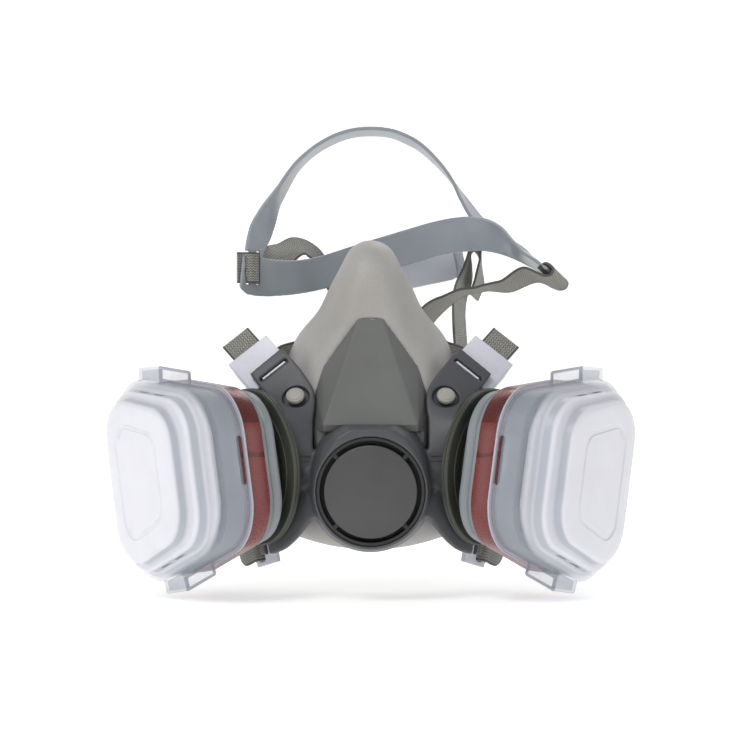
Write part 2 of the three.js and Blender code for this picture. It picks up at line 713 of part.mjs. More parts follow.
const CRADLE_BAND = [
  [-58.5, 31.5, 61, -0.1, 0, 1, 15],
  [-55, 35, 60, -0.05, 0, 1, 19],
  [-50, 40, 59, 0, 0, 1, 18],
  [-44, 49, 59, 0, 0, 1, 17],
  [-33, 70, 60.5, 0, 0, 1, 16],
  [-22, 85, 63.5, 0, 0, 1, 16],
  [-10, 94, 67.5, 0, 0, 1, 16.5],
  [3, 97, 71.5, 0, 0, 1, 17],
  [18, 95.5, 76, 0, 0, 1, 17],
  [31, 90, 79.5, 0, 0, 1, 17],
  [43, 80, 81, 0, -0.05, 1, 17],
  [53, 66, 80, -0.1, -0.15, 0.95, 16],
  [61, 50, 76, -0.25, -0.4, 0.85, 16],
  [67, 38, 70.5, -0.42, -0.62, 0.65, 16],
  [73, 28, 65, -0.52, -0.71, 0.47, 18],
  [78, 19, 61, -0.53, -0.73, 0.45, 19],
  [82, 12.5, 57.5, -0.53, -0.73, 0.45, 15],
];
const CRADLE_CROWN = [
  [-54.3, 35.7, 62, 0.7, 0.7, 0, 9],
  [-53, 37, 71, 0.72, 0.68, 0.05, 11],
  [-50.5, 39, 79, 0.72, 0.66, 0.12, 13.5],
  [-47, 41.5, 87, 0.55, 0.8, 0.2, 15],
  [-42, 46, 97, 0.25, 0.95, 0.1, 16],
  [-33, 56, 112, 0.1, 1, 0, 16],
  [-22, 65, 122, 0, 1, -0.1, 16],
  [-10, 71, 127.6, 0, 1, -0.1, 16],
  [0, 74, 129, 0, 1, -0.1, 16],
  [11, 77, 128, 0, 1, -0.1, 16],
  [22, 80, 123, 0, 1, -0.1, 16],
  [31, 84, 115.5, 0, 1, -0.05, 16],
  [38, 88, 107.5, 0.05, 1, 0, 16],
  [43, 91, 100, 0.2, 0.98, 0.05, 16],
  [49.5, 93, 91, 0.36, 0.93, 0.05, 16],
  [57, 88, 83, 0.45, 0.87, -0.15, 16],
  [64, 72, 77, 0.5, 0.8, -0.35, 15],
  [69, 54, 72.5, 0.53, 0.75, -0.42, 14],
  [73, 38, 68, 0.53, 0.73, -0.45, 13],
  [76, 26, 63, 0.53, 0.73, -0.45, 12],
];
const CRADLE_THICK = 1.6;

// End eyelets: e points from the cradle's end inwards, m out of its front face.
const LEFT_EYE = {
  end: vec(-58.5, 31.5, 63), e: vec(0.7, 0.7, 0), m: vec(0.7, -0.7, 0), w: vec(0, 0, 1),
};
const RIGHT_EYE = {
  end: vec(82, 12.5, 57.5), e: vec(-0.53, 0.71, 0.46), m: vec(0.65, 0, 0.76), w: vec(0.54, 0.72, -0.44),
};

function eyeAxes(eye) {
  return new THREE.Matrix4().makeBasis(
    eye.e.clone().normalize(),
    eye.w.clone().normalize(),
    eye.e.clone().normalize().cross(eye.w.clone().normalize()),
  ).setPosition(eye.end);
}
const eyeCutters = [LEFT_EYE, RIGHT_EYE].map((eye) =>
  box(3.8, 7.2, -7.6, 7.6, -5, 5).applyMatrix4(eyeAxes(eye)),
);
place(
  "head_cradle",
  cut(
    join(ribbon(CRADLE_BAND, 16, CRADLE_THICK, 2), ribbon(CRADLE_CROWN, 16, CRADLE_THICK, 2)),
    ...eyeCutters,
  ),
  CRADLE_PLASTIC,
);

// ---------------------------------------------------------------- webbing

// The webbing's turn through an eyelet, from its sewn end to where it leaves at the back.
function eyeLoop(eye) {
  const stops = [
    [6.2, -2.1], [5.6, -0.4], [4.9, 1.6], [2.2, 2.3], [-1.4, 1.6], [-2.4, -0.7], [0, -2.8],
    [4, -3.7], [13, -5.6],
  ];
  return stops.map(([along, up]) => {
    const p = eye.end.clone().addScaledVector(eye.e, along).addScaledVector(eye.m, up);
    return [p.x, p.y, p.z, eye.w.x, eye.w.y, eye.w.z];
  });
}

function strap(stops, perSpan = 2) {
  return ribbon(stops, WEBBING_WIDTH, WEBBING_THICK, perSpan, true);
}

// From behind the mask's rim to the upper buckle and out as a short tail, on the left.
const UPPER_STRAP_END = [
  [-34, 15, 23, 0.4, 0.1, 0.9],
  [-42.8, 5.5, 20, 0.45, 0.05, 0.9],
  [-45.2, -7, 19, 0.6, 0, 0.8],
  buckleStop(UPPER_SLOT, -2.4, 3, -13),
  buckleStop(UPPER_SLOT, -2.4, 7.4, -7.6),
  buckleStop(UPPER_SLOT, -2.4, 11, -5.6),
  buckleStop(UPPER_SLOT, -2.4, 17, -5.4),
  buckleStop(UPPER_SLOT, -2.4, 29, -5.6),
];
function mirroredStops(stops) {
  return stops.map(([x, y, z, wx, wy, wz]) => [-x, y, z, -wx, wy, wz]);
}
function turnedOver(stops) {
  return stops.map(([x, y, z, wx, wy, wz]) => [x, y, z, -wx, -wy, -wz]);
}

place("left_upper_strap", strap([
  ...eyeLoop(LEFT_EYE),
  [-46.5, 58, 67, 0, 0.5, 0.85],
  [-40.5, 70, 72, 0, 0.85, 0.5],
  [-34, 80, 75, 0, 0.9, 0.43],
  [-27, 90, 72, 0.1, 0.9, 0.4],
  [-21, 98, 63, 0.4, 0.85, 0.3],
  [-13, 99, 52, 0.8, 0.5, 0.3],
  [-11, 86, 42, 0.9, 0.1, 0.3],
  [-15, 60, 36, 0.85, 0.1, 0.5],
  [-24, 33, 29, 0.7, 0.1, 0.7],
  ...UPPER_STRAP_END,
]), WEBBING);

place("right_upper_strap", strap([
  ...eyeLoop(RIGHT_EYE),
  [61, 31, 54.5, 0.15, 0.93, -0.32],
  [50, 39, 53.5, 0, 1, -0.1],
  [41, 43, 52, 0.1, 0.97, -0.2],
  [32, 44, 46.5, 0.25, 0.9, -0.37],
  [25, 38, 40, 0.3, 0.75, -0.6],
  [24, 27, 32.5, 0.35, 0.35, -0.88],
  ...turnedOver(mirroredStops(UPPER_STRAP_END)),
]), WEBBING);

// Neck strap: turn round the lower buckle's outer bar, then back past the rim.
const LOWER_STRAP_END = [
  buckleStop(LOWER_SLOT, 0, 27, -8),
  buckleStop(LOWER_SLOT, 0, 19, -5.8),
  buckleStop(LOWER_SLOT, 0, 14.6, -5.2),
  buckleStop(LOWER_SLOT, 0, 11.8, -4.4),
  buckleStop(LOWER_SLOT, 0, 11.2, -2.6),
  buckleStop(LOWER_SLOT, 0, 12.4, -0.9),
  buckleStop(LOWER_SLOT, 0, 15.5, -0.7),
  buckleStop(LOWER_SLOT, 0, 18.6, -1.6),
  buckleStop(LOWER_SLOT, 0, 28, -3),
];
place("left_neck_strap", strap([
  ...LOWER_STRAP_END,
  [-60, 3, -55, -0.4, 0, 0.9],
  [-61, 15, -48, -0.6, 0.1, 0.8],
  [-56, 28, -37, -0.75, 0.1, 0.65],
  [-47, 40, -22, -0.8, 0.2, 0.6],
  [-36, 52, -4, -0.8, 0.3, 0.5],
  [-25, 70, 14, -0.8, 0.3, 0.5],
  [-14, 94, 34, -0.7, 0.3, 0.6],
  [-3, 108, 50, -0.6, 0.1, 0.8],
  [4, 109, 57.5, -0.4, 0, 0.9],
  [11.5, 108.8, 62.6, -0.2, 0, 0.98],
]), WEBBING);
place("right_neck_strap", strap([
  ...mirroredStops(LOWER_STRAP_END),
  [61, 4, -55, 0.45, -0.1, 0.88],
  [62, 16, -46, 0.8, 0.1, 0.6],
  [56, 26, -28, 0.88, 0.4, 0.2],
  [48, 34, -8, 0.67, 0.74, -0.08],
  [43, 42, 10, 0.51, 0.77, -0.39],
  [41.5, 56, 27, 0.48, 0.66, -0.58],
  [41.4, 74, 41, 0.45, 0.6, -0.66],
  [42, 88, 49, 0.4, 0.6, -0.69],
  [43.8, 98.6, 56, 0.33, 0.7, -0.63],
  [46.8, 105, 63.6, 0.28, 0.78, -0.56],
  [48, 109, 71, 0.12, 0.87, -0.47],
  [48.5, 111, 75.6, 0, 0.92, -0.4],
  [50.6, 111.8, 77.8, 0, 0.92, -0.4],
  [52.7, 110.8, 75.6, 0, 0.92, -0.42],
  [53.2, 107.2, 68, 0.1, 0.91, -0.4],
  [52.4, 104, 60, 0.32, 0.92, -0.24],
  [49.6, 103, 52, 0.31, 0.92, -0.22],
], 5), WEBBING);

// ---------------------------------------------------------------- neck clip

const CLIP_AXES = new THREE.Matrix4()
  .makeRotationY(THREE.MathUtils.degToRad(-12))
  .setPosition(30, 0, 68);
function clipPlate(x0, x1, halfHeight, y0, y1) {
  const shape = new THREE.Shape();
  const r = 4;
  shape.moveTo(x0 + r, -halfHeight);
  shape.lineTo(x1 - r, -halfHeight);
  shape.absarc(x1 - r, -halfHeight + r, r, -Math.PI / 2, 0, false);
  shape.lineTo(x1, halfHeight - r);
  shape.absarc(x1 - r, halfHeight - r, r, 0, Math.PI / 2, false);
  shape.lineTo(x0 + r, halfHeight);
  shape.absarc(x0 + r, halfHeight - r, r, Math.PI / 2, Math.PI, false);
  shape.lineTo(x0, -halfHeight + r);
  shape.absarc(x0 + r, -halfHeight + r, r, Math.PI, Math.PI * 1.5, false);
  const plate = slab(shape, 0, y1 - y0, 4);
  plate.rotateX(Math.PI / 2);
  plate.translate(0, y1, 0);
  return merge(plate);
}
const clipLoop = cut(
  clipPlate(-9, 15.5, 8.6, 111, 113.4),
  box(-5, 3, 105, 120, -4.6, 4.6),
);
place("neck_clip_loop", clipLoop.applyMatrix4(CLIP_AXES), BUCKLE_PLASTIC);
const clipHook = join(
  clipPlate(-16, 11, 9.2, 107.6, 110),
  box(-4, 2, 109, 114.6, -3.6, 3.6),
);
place("neck_clip_hook", clipHook.applyMatrix4(CLIP_AXES), BUCKLE_PLASTIC);

export default respirator;
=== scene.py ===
import math

import bmesh
import bpy
from mathutils import Matrix, Vector


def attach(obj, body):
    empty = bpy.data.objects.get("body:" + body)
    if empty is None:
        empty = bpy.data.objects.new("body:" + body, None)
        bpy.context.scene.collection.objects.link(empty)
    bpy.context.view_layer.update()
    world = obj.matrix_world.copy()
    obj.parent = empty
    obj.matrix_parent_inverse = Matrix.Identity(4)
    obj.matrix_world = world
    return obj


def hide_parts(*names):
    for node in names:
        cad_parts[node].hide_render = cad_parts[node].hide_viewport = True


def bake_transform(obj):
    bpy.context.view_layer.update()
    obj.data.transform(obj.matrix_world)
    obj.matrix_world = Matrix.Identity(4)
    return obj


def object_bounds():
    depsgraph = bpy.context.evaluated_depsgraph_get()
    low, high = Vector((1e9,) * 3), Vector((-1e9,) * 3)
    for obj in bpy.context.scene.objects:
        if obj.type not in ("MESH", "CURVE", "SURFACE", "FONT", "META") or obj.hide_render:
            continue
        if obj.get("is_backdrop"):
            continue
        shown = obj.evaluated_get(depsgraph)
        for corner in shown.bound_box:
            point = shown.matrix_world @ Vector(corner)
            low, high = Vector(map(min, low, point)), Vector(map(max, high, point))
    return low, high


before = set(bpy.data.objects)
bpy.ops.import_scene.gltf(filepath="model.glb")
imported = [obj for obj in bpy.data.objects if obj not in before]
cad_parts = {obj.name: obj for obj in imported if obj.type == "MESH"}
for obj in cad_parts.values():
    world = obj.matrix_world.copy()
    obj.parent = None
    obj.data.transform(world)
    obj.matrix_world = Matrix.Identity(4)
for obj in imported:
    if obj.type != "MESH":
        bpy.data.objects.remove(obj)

cad_low, cad_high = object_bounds()
scene = bpy.context.scene

# ---------------------------------------------------------------- camera, backdrop and lamps
# The mask is seen level from the front, from about a metre away.
# It hangs just above a pale paper sweep, between soft boxes.

MM = 0.001

camera = bpy.data.objects.new("camera", bpy.data.cameras.new("camera"))
camera.data.lens = 105.4
camera.data.sensor_width = 36
camera.location = Vector((1.8, -960, 14.4)) * MM
camera.rotation_euler = (math.radians(90), 0, 0)
scene.collection.objects.link(camera)
scene.camera = camera
scene.view_settings.view_transform = "Standard"

FLOOR_GAP = 0.0006
BEND_STEPS = 24
BEND_RADIUS = 1.6
sweep_path = [(-3, 0), (1, 0)]
for step in range(1, BEND_STEPS + 1):
    turn = math.pi / 2 * step / BEND_STEPS
    sweep_path.append((1 + BEND_RADIUS * math.sin(turn), BEND_RADIUS * (1 - math.cos(turn))))
sweep_path.append((1 + BEND_RADIUS, 4))
sweep = bmesh.new()
edge = [[sweep.verts.new((x, y, z + cad_low.z - FLOOR_GAP)) for x in (-4, 4)]
        for y, z in sweep_path]
for near, far in zip(edge, edge[1:]):
    sweep.faces.new((near[0], near[1], far[1], far[0]))
backdrop_mesh = bpy.data.meshes.new("backdrop")
sweep.to_mesh(backdrop_mesh)
sweep.free()
backdrop_mesh.shade_smooth()
backdrop = bpy.data.objects.new("backdrop", backdrop_mesh)
scene.collection.objects.link(backdrop)
paper = bpy.data.materials.new("backdrop paper")
paper.use_nodes = True
for socket, value in (("Base Color", (0.93, 0.93, 0.93, 1)), ("Roughness", 0.9),
                      ("Emission Color", (1, 1, 1, 1)), ("Emission Strength", 0.45)):
    paper.node_tree.nodes["Principled BSDF"].inputs[socket].default_value = value
backdrop_mesh.materials.append(paper)
backdrop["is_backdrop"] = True

room = bpy.data.worlds.new("room")
room.use_nodes = True
room.node_tree.nodes["Background"].inputs["Color"].default_value = (1, 1, 1, 1)
room.node_tree.nodes["Background"].inputs["Strength"].default_value = 0.46
scene.world = room


def soft_box(name, place, size, watts):
    lamp = bpy.data.objects.new(name, bpy.data.lights.new(name, "AREA"))
    lamp.data.shape = "DISK"
    lamp.data.size = size
    lamp.data.energy = watts
    lamp.location = place
    lamp.rotation_euler = (-Vector(place)).to_track_quat("-Z", "Y").to_euler()
    scene.collection.objects.link(lamp)


soft_box("key lamp", (-0.5, -0.9, 1.1), 0.7, 7.5)
soft_box("left fill lamp", (-1.3, -0.5, 0.2), 0.8, 1.8)
soft_box("right fill lamp", (1.3, -0.6, 0.3), 0.8, 1.8)
soft_box("back lamp", (0.3, 1.2, 1.2), 0.8, 3)

# ---------------------------------------------------------------- face seal
# One soft elastomer moulding, wide round the mouth and pointed at the nose bridge.
# Its rim rolls in to a lip that lies on the face, and a collar grips each port's neck.


class Value:
    """A shader socket that can be used in sums like a number."""

    def __init__(self, look, socket):
        self.look = look
        self.socket = socket

    def math(self, operation, first, second=None):
        inputs = {0: first} if second is None else {0: first, 1: second}
        return self.look.node("ShaderNodeMath", {"operation": operation}, inputs)

    def __add__(self, other):
        return self.math("ADD", self, other)

    def __sub__(self, other):
        return self.math("SUBTRACT", self, other)

    def __mul__(self, other):
        return self.math("MULTIPLY", self, other)

    def __abs__(self):
        return self.math("ABSOLUTE", self)

    def sine(self):
        return self.math("SINE", self)


class Look:
    """A material on the principled shader."""

    def __init__(self, name, **constants):
        self.material = bpy.data.materials.new(name)
        self.material.use_nodes = True
        self.tree = self.material.node_tree
        self.shader = self.tree.nodes["Principled BSDF"]
        for socket, value in constants.items():
            self.shader.inputs[socket.replace("_", " ")].default_value = value

    def node(self, kind, settings, inputs, output=0):
        made = self.tree.nodes.new(kind)
        for name, value in settings.items():
            setattr(made, name, value)
        for name, value in inputs.items():
            self.plug(made.inputs[name], value)
        return Value(self, made.outputs[output])

    def plug(self, socket, value):
        if isinstance(value, Value):
            self.tree.links.new(value.socket, socket)
        else:
            socket.default_value = value

    def position(self):
        return self.node("ShaderNodeTexCoord", {}, {}, "Object")

    def along(self, name):
        return self.node("ShaderNodeAttribute", {"attribute_name": name}, {}, "Fac")

    def noise(self, scale, detail=2.0, rough=0.5):
        inputs = {"Vector": self.position(), "Scale": scale, "Detail": detail, "Roughness": rough}
        return self.node("ShaderNodeTexNoise", {}, inputs, "Fac")

    def mix(self, share, first, second):
        settings = {"data_type": "RGBA"}
        return self.node("ShaderNodeMix", settings, {0: share, 6: first, 7: second}, 2)

    def band(self, value, low, high):
        return self.node("ShaderNodeMapRange", {"interpolation_type": "SMOOTHSTEP"},
                         {"Value": value, "From Min": low, "From Max": high})

    def bump(self, height, depth):
        bumped = self.node("ShaderNodeBump", {}, {"Height": height, "Distance": depth}, "Normal")
        self.plug(self.shader.inputs["Normal"], bumped)

    def paint(self, **sockets):
        for socket, value in sockets.items():
            self.plug(self.shader.inputs[socket.replace("_", " ")], value)
        return self


def tone(red, green, blue):
    """A colour given in the usual 0-255 steps, as the shader wants it."""
    linear = []
    for step in (red, green, blue):
        share = step / 255
        linear.append(share / 12.92 if share <= 0.04045 else ((share + 0.055) / 1.055) ** 2.4)
    return (*linear, 1)


def shaded(colour, by):
    return (*(channel * by for channel in colour[:3]), 1)


def moulded_plastic(name, colour, rough, grain=0.00003, grain_scale=2600):
    """A plain plastic with faint mottling and a fine moulded grain."""
    look = Look(name)
    cloud = look.noise(38, 3)
    dust = look.noise(900, 4)
    mottle = look.band(cloud * 0.75 + dust * 0.25, 0.35, 0.65)
    look.paint(
        Base_Color=look.mix(mottle, shaded(colour, 0.93), shaded(colour, 1.07)),
        Roughness=dust * 0.1 + (rough - 0.05),
    )
    look.bump(look.noise(grain_scale, 2), grain)
    return look


def point_on(points, at, closed=False):
    """A point on the smooth curve through the given ones, at a share of its length."""
    last = len(points) - 1
    place = at * (last + 1 if closed else last)
    index = min(int(place), last if closed else last - 1)
    share = place - index
    if closed:
        before, here = points[(index - 1) % (last + 1)], points[index % (last + 1)]
        there, after = points[(index + 1) % (last + 1)], points[(index + 2) % (last + 1)]
    else:
        here, there = points[index], points[index + 1]
        before = points[index - 1] if index else here * 2 - there
        after = points[index + 2] if index + 2 <= last else there * 2 - here
    gap = (there - here).length ** 0.5 or 1
    gap_before = (here - before).length ** 0.5 or gap
    gap_after = (after - there).length ** 0.5 or gap
    leaving = ((here - before) / gap_before - (there - before) / (gap_before + gap)
               + (there - here) / gap) * gap
    arriving = ((there - here) / gap - (after - here) / (gap + gap_after)
                + (after - there) / gap_after) * gap
    return (here + leaving * share
            + (-3 * here + 3 * there - 2 * leaving - arriving) * share ** 2
            + (2 * here - 2 * there + leaving + arriving) * share ** 3)


def loft(bm, rows, ring=False, along=None):
    """Joins closed rows of points, millimetres apart, into one skin."""
    if ring:
        rows = [*rows, rows[0]]
    along_layer = bm.verts.layers.float.get("along") or bm.verts.layers.float.new("along")
    across_layer = bm.verts.layers.float.get("across") or bm.verts.layers.float.new("across")
    verts = [bm.verts.new(point) for point in rows[0]]
    loop = [bm.edges.new((a, b)) for a, b in zip(verts, verts[1:] + verts[:1])]
    first_loop = loop
    for index, row in enumerate(rows):
        if index:
            grown = bmesh.ops.extrude_edge_only(bm, edges=loop)["geom"]
            fresh = {g for g in grown if isinstance(g, bmesh.types.BMVert)}
            verts = [next(e.other_vert(v) for e in v.link_edges if e.other_vert(v) in fresh)
                     for v in verts]
            loop = [bm.edges.get((a, b)) for a, b in zip(verts, verts[1:] + verts[:1])]
        for vert, point in zip(verts, row):
            vert.co = point
            vert[along_layer] = along[index][0] if along else index
        if along:
            for vert, across in zip(verts, along[index][1]):
                vert[across_layer] = across
    if ring:
        bmesh.ops.remove_doubles(bm, verts=bm.verts, dist=1e-4)
    else:
        bmesh.ops.edgeloop_fill(bm, edges=first_loop)
        bmesh.ops.edgeloop_fill(bm, edges=loop)
    bmesh.ops.recalc_face_normals(bm, faces=bm.faces)


def finished(bm, **modifiers):
    """bm after modifiers, each given as TYPE={setting: value}, as a new bmesh."""
    mesh = bpy.data.meshes.new("blank")
    bm.to_mesh(mesh)
    blank = bpy.data.objects.new("blank", mesh)
    scene.collection.objects.link(blank)
    for kind, settings in modifiers.items():
        modifier = blank.modifiers.new(kind, kind)
        for name, value in settings.items():
            setattr(modifier, name, value)
    done = bmesh.new()
    done.from_object(blank, bpy.context.evaluated_depsgraph_get())
    bpy.data.objects.remove(blank)
    bpy.data.meshes.remove(mesh)
    return done


def carved(bm, tool, operation="DIFFERENCE"):
    """bm with the tool cut away or joined on."""
    mesh = bpy.data.meshes.new("tool")
    bmesh.ops.recalc_face_normals(tool, faces=tool.faces)
    tool.to_mesh(mesh)
    cutter = bpy.data.objects.new("tool", mesh)
    scene.collection.objects.link(cutter)
    done = finished(bm, BOOLEAN={"object": cutter, "operation": operation, "solver": "EXACT"})
    bpy.data.objects.remove(cutter)
    bpy.data.meshes.remove(mesh)
    return done


def moulded(bm, voxel, passes):
    """One skin with softened edges over everything in bm."""
    done = finished(bm, REMESH={"mode": "VOXEL", "voxel_size": voxel, "adaptivity": 0})
    for _ in range(passes):
        bmesh.ops.smooth_vert(done, verts=done.verts, factor=0.5,
                              use_axis_x=True, use_axis_y=True, use_axis_z=True)
    return done


def piece(name, bm, look, body, nodes=(), crease=35):
    """Turns a bmesh in millimetres into a finished piece that rides on a body."""
    bmesh.ops.scale(bm, vec=(MM, MM, MM), verts=bm.verts)
    mesh = bpy.data.meshes.new(name)
    bm.to_mesh(mesh)
    bm.free()
    mesh.shade_smooth()
    mesh.set_sharp_from_angle(angle=math.radians(crease))
    mesh.materials.append(look.material)
    made = bpy.data.objects.new(name, mesh)
    scene.collection.objects.link(made)
    if body:
        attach(made, body)
    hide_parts(*nodes)
    return made


def flipped(bm):
    """The mirror image of bm across the mask's centre plane."""
    done = bm.copy()
    bmesh.ops.scale(done, vec=(-1, 1, 1), verts=done.verts)
    bmesh.ops.reverse_faces(done, faces=done.faces)
    return done


def pair(name, bm, look, body, crease=35, sided_body=False):
    """A left piece and its mirror image; each replaces the CAD node of its own name."""
    made = []
    for side, one in (("left_", bm.copy()), ("right_", flipped(bm))):
        rides_on = side + body if sided_body else body
        made.append(piece(side + name + "_finish", one, look, rides_on, [side + name],
                          crease))
    bm.free()
    return made


def rod(bm, radius, low, high, axes=Matrix(), segments=48):
    made = bmesh.ops.create_cone(bm, cap_ends=True, segments=segments, radius1=radius,
                                 radius2=radius, depth=high - low)["verts"]
    bmesh.ops.transform(bm, matrix=axes @ Matrix.Translation((0, 0, (low + high) / 2)), verts=made)


def box(bm, x0, x1, y0, y1, z0, z1, axes=Matrix()):
    made = bmesh.ops.create_cube(bm, size=1)["verts"]
    bmesh.ops.scale(bm, vec=(x1 - x0, y1 - y0, z1 - z0), verts=made)
    middle = Matrix.Translation(((x0 + x1) / 2, (y0 + y1) / 2, (z0 + z1) / 2))
    bmesh.ops.transform(bm, matrix=axes @ middle, verts=made)


def axes_of(x, y, z, centre):
    grid = Matrix((x, y, z)).transposed().to_4x4()
    grid.translation = centre
    return grid


# The port's axes: t towards the mask's centre, u up, n out along the port.
PORT_CENTRE = Vector((-53.6, -43.5, -24.5))
port_n = Vector((-math.cos(math.radians(4)) * math.cos(math.radians(35)),
                 -math.cos(math.radians(4)) * math.sin(math.radians(35)),
                 -math.sin(math.radians(4))))
level_t = Vector((math.sin(math.radians(35)), -math.cos(math.radians(35)), 0))
port_t = Matrix.Rotation(math.radians(7.5), 3, port_n) @ level_t
PORT = axes_of(port_t, port_n.cross(port_t), port_n, PORT_CENTRE)

# Right half of the seal's opening for the shell, from the nose down to the chin.
OPENING = [
    (0, -32.5, 39.5), (3, -32.7, 39.3), (5.1, -33, 38.5), (9, -33.6, 33), (13, -34.4, 28),
    (18, -35.5, 21.5), (21, -37, 15.5), (23.5, -40, 8), (24.9, -43.8, -4), (25.5, -47, -16),
    (24, -50, -33), (21.5, -50, -45), (14, -50, -54), (7, -50, -57), (0, -50, -58),
]
# Right half of the rim on the face, as (x, z).
RIM = [
    (0, 73), (8, 70), (13.3, 61.4), (18, 52.8), (23, 42.7), (32, 31.9), (38, 19.4), (46, 7),
    (54, -7), (58, -22), (56, -37), (47, -49), (33, -55), (16, -59.5), (0, -60.6),
]
SEAL_WALL = 2.6
SEAL_LIP = 12
SEAL_TUCK = 1.4
OPENING_HALF_WIDTH = 18
OPENING_HALF_HEIGHT = 45
SEAL_STATIONS = 120
SEAL_STEPS = 16


def both_halves(half):
    right = [Vector(point) for point in half]
    return right + [Vector((-p.x, p.y, p.z)) for p in reversed(right[1:-1])]


def rim_depth(z):
    """How far back the rim lies: it curves round the cheeks, more sharply under the chin."""
    return 10 - 16 * ((z + 20) / 93) ** 2 if z > -20 else 10 - 18 * ((z + 20) / 40.6) ** 2


# The seal runs a little way in behind the shell's edge.
opening_curve = both_halves([
    (x * (1 - SEAL_TUCK / OPENING_HALF_WIDTH), y, z - (z + 10) * (SEAL_TUCK / OPENING_HALF_HEIGHT))
    for x, y, z in OPENING
])
rim_curve = both_halves([(x, rim_depth(z), z) for x, z in RIM])


def seal_section(at):
    front = point_on(opening_curve, at, True)
    rim = point_on(rim_curve, at, True)
    out = Vector((rim.x - front.x, 0, rim.z - front.z))
    reach = out.length
    out.normalize()
    bulge = min(max(reach * 0.9, 8), 25)
    a, b, c = front, front + out * reach * 0.5, rim + Vector((0, -bulge, 0))
    outer, inner = [], []
    for step in range(SEAL_STEPS + 1):
        s = step / SEAL_STEPS
        place = (a * (1 - s) ** 3 + b * 3 * s * (1 - s) ** 2 + c * 3 * s ** 2 * (1 - s)
                 + rim * s ** 3)
        slope = ((b - a) * (1 - s) ** 2 + (c - b) * 2 * s * (1 - s) + (rim - c) * s ** 2)
        slope.normalize()
        inwards = out * -slope.y + Vector((0, 1, 0)) * slope.dot(out)
        outer.append(place)
        inner.append(place + inwards.normalized() * SEAL_WALL)
    inner[-1].y -= SEAL_WALL * 0.6
    lip = [
        rim + out * -SEAL_LIP * 0.12 + Vector((0, 1.1, 0)),
        rim + out * -SEAL_LIP * 0.4 + Vector((0, 1.5, 0)),
        rim + out * -SEAL_LIP * 0.8 + Vector((0, 1, 0)),
        rim + out * -SEAL_LIP + Vector((0, 0.3, 0)),
        rim + out * -SEAL_LIP + Vector((0, -0.4, 0)),
        rim + out * -SEAL_LIP * 0.8 + Vector((0, -1, 0)),
        rim + out * -SEAL_LIP * 0.45 + Vector((0, -1.6, 0)),
    ]
    return [*outer, *lip, *reversed(inner)]


seal = bmesh.new()
loft(seal, [seal_section(i / SEAL_STATIONS) for i in range(SEAL_STATIONS)], ring=True)
necks, holes = bmesh.new(), bmesh.new()
for side in (Matrix(), Matrix.Scale(-1, 4, (1, 0, 0))):
    rod(necks, 20.8, -19, -10.5, side @ PORT, 72)
    rod(holes, 18.1, -40, 10, side @ PORT, 72)
bmesh.ops.recalc_face_normals(necks, faces=necks.faces)
seal = moulded(carved(carved(seal, necks, "UNION"), holes), 0.85, 6)

elastomer = Look("seal elastomer", Specular_IOR_Level=0.45)
skin_cloud = elastomer.noise(26, 3)
skin_dust = elastomer.noise(700, 4)
skin_share = elastomer.band(skin_cloud * 0.8 + skin_dust * 0.2, 0.3, 0.7)
elastomer.paint(
    Base_Color=elastomer.mix(skin_share, tone(160, 157, 153), tone(176, 174, 170)),
    Roughness=skin_dust * 0.12 + 0.42,
)
elastomer.bump(elastomer.noise(1900, 3) * 0.4 + skin_cloud * 2, 0.00006)
piece("face_seal_moulding", seal, elastomer, "facepiece", ["face_seal"], 60)

# ---------------------------------------------------------------- front shell
# A hard plastic shell that the seal is moulded to, with flat facets above the exhalation valve.

shell_plastic = moulded_plastic("shell plastic", tone(101, 103, 101), 0.48)


def hull(points):
    """The convex solid round the points."""
    bm = bmesh.new()
    verts = [bm.verts.new(point) for point in points]
    result = bmesh.ops.convex_hull(bm, input=verts)
    inside = {g for g in result["geom_interior"] + result["geom_unused"]
              if isinstance(g, bmesh.types.BMVert)}
    bmesh.ops.delete(bm, geom=list(inside), context="VERTS")
    return bm


def mirrored_points(points):
    return [*points, *((-x, y, z) for x, y, z in points if x)]


SHELL_WALL = 2.4
UPPER_FACETS = mirrored_points([
    (5.1, -33, 38.5), (13, -34.4, 28), (20, -36, 18), (23.2, -40, 8), (24.8, -45, -9),
    (19.5, -60, -6), (19.5, -58.5, -9),
])
LOWER_PLATE = mirrored_points([
    (24.8, -45.5, -8), (25, -48, -16), (23.6, -49.6, -33), (21, -49.6, -45),
    (13.6, -49.6, -53.6), (0, -49.6, -57.6), (22, -54, -9), (21.5, -54, -33),
    (18, -54, -46), (9, -54, -53.5), (0, -54, -55),
])


def hollow_of(points):
    inner = []
    for x, y, z in points:
        middle = z if -9.5 < z < -5 else z - math.copysign(SHELL_WALL * 0.8, z + 10)
        inner.append((x - (math.copysign(SHELL_WALL, x) if x else 0), y + SHELL_WALL, middle))
    return hull([*inner, *((x, -10, z) for x, _, z in inner)])


shell = carved(hull(UPPER_FACETS), hull(LOWER_PLATE), "UNION")
for points in (UPPER_FACETS, LOWER_PLATE):
    shell = carved(shell, hollow_of(points))
FRONT = axes_of(Vector((1, 0, 0)), Vector((0, 0, 1)), Vector((0, -1, 0)), Vector((0, 0, -33)))
valve_hole = bmesh.new()
rod(valve_hole, 15.6, 40, 75, FRONT, 72)
shell = moulded(carved(shell, valve_hole), 0.4, 3)
piece("front_shell_moulding", shell, shell_plastic, "facepiece",
      ["front_shell"], 50)

# ---------------------------------------------------------------- exhalation valve
# A spoked seat behind the housing, and a rubber flap on it that lifts on each breath out.

cover_plastic = moulded_plastic("cover plastic", tone(73, 73, 74), 0.42)
pit_plastic = moulded_plastic("cover ring plastic", tone(46, 47, 46), 0.5)
valve_rubber = moulded_plastic("valve rubber", tone(216, 201, 160), 0.45, 0.00002)


ROUND_STEPS = 96


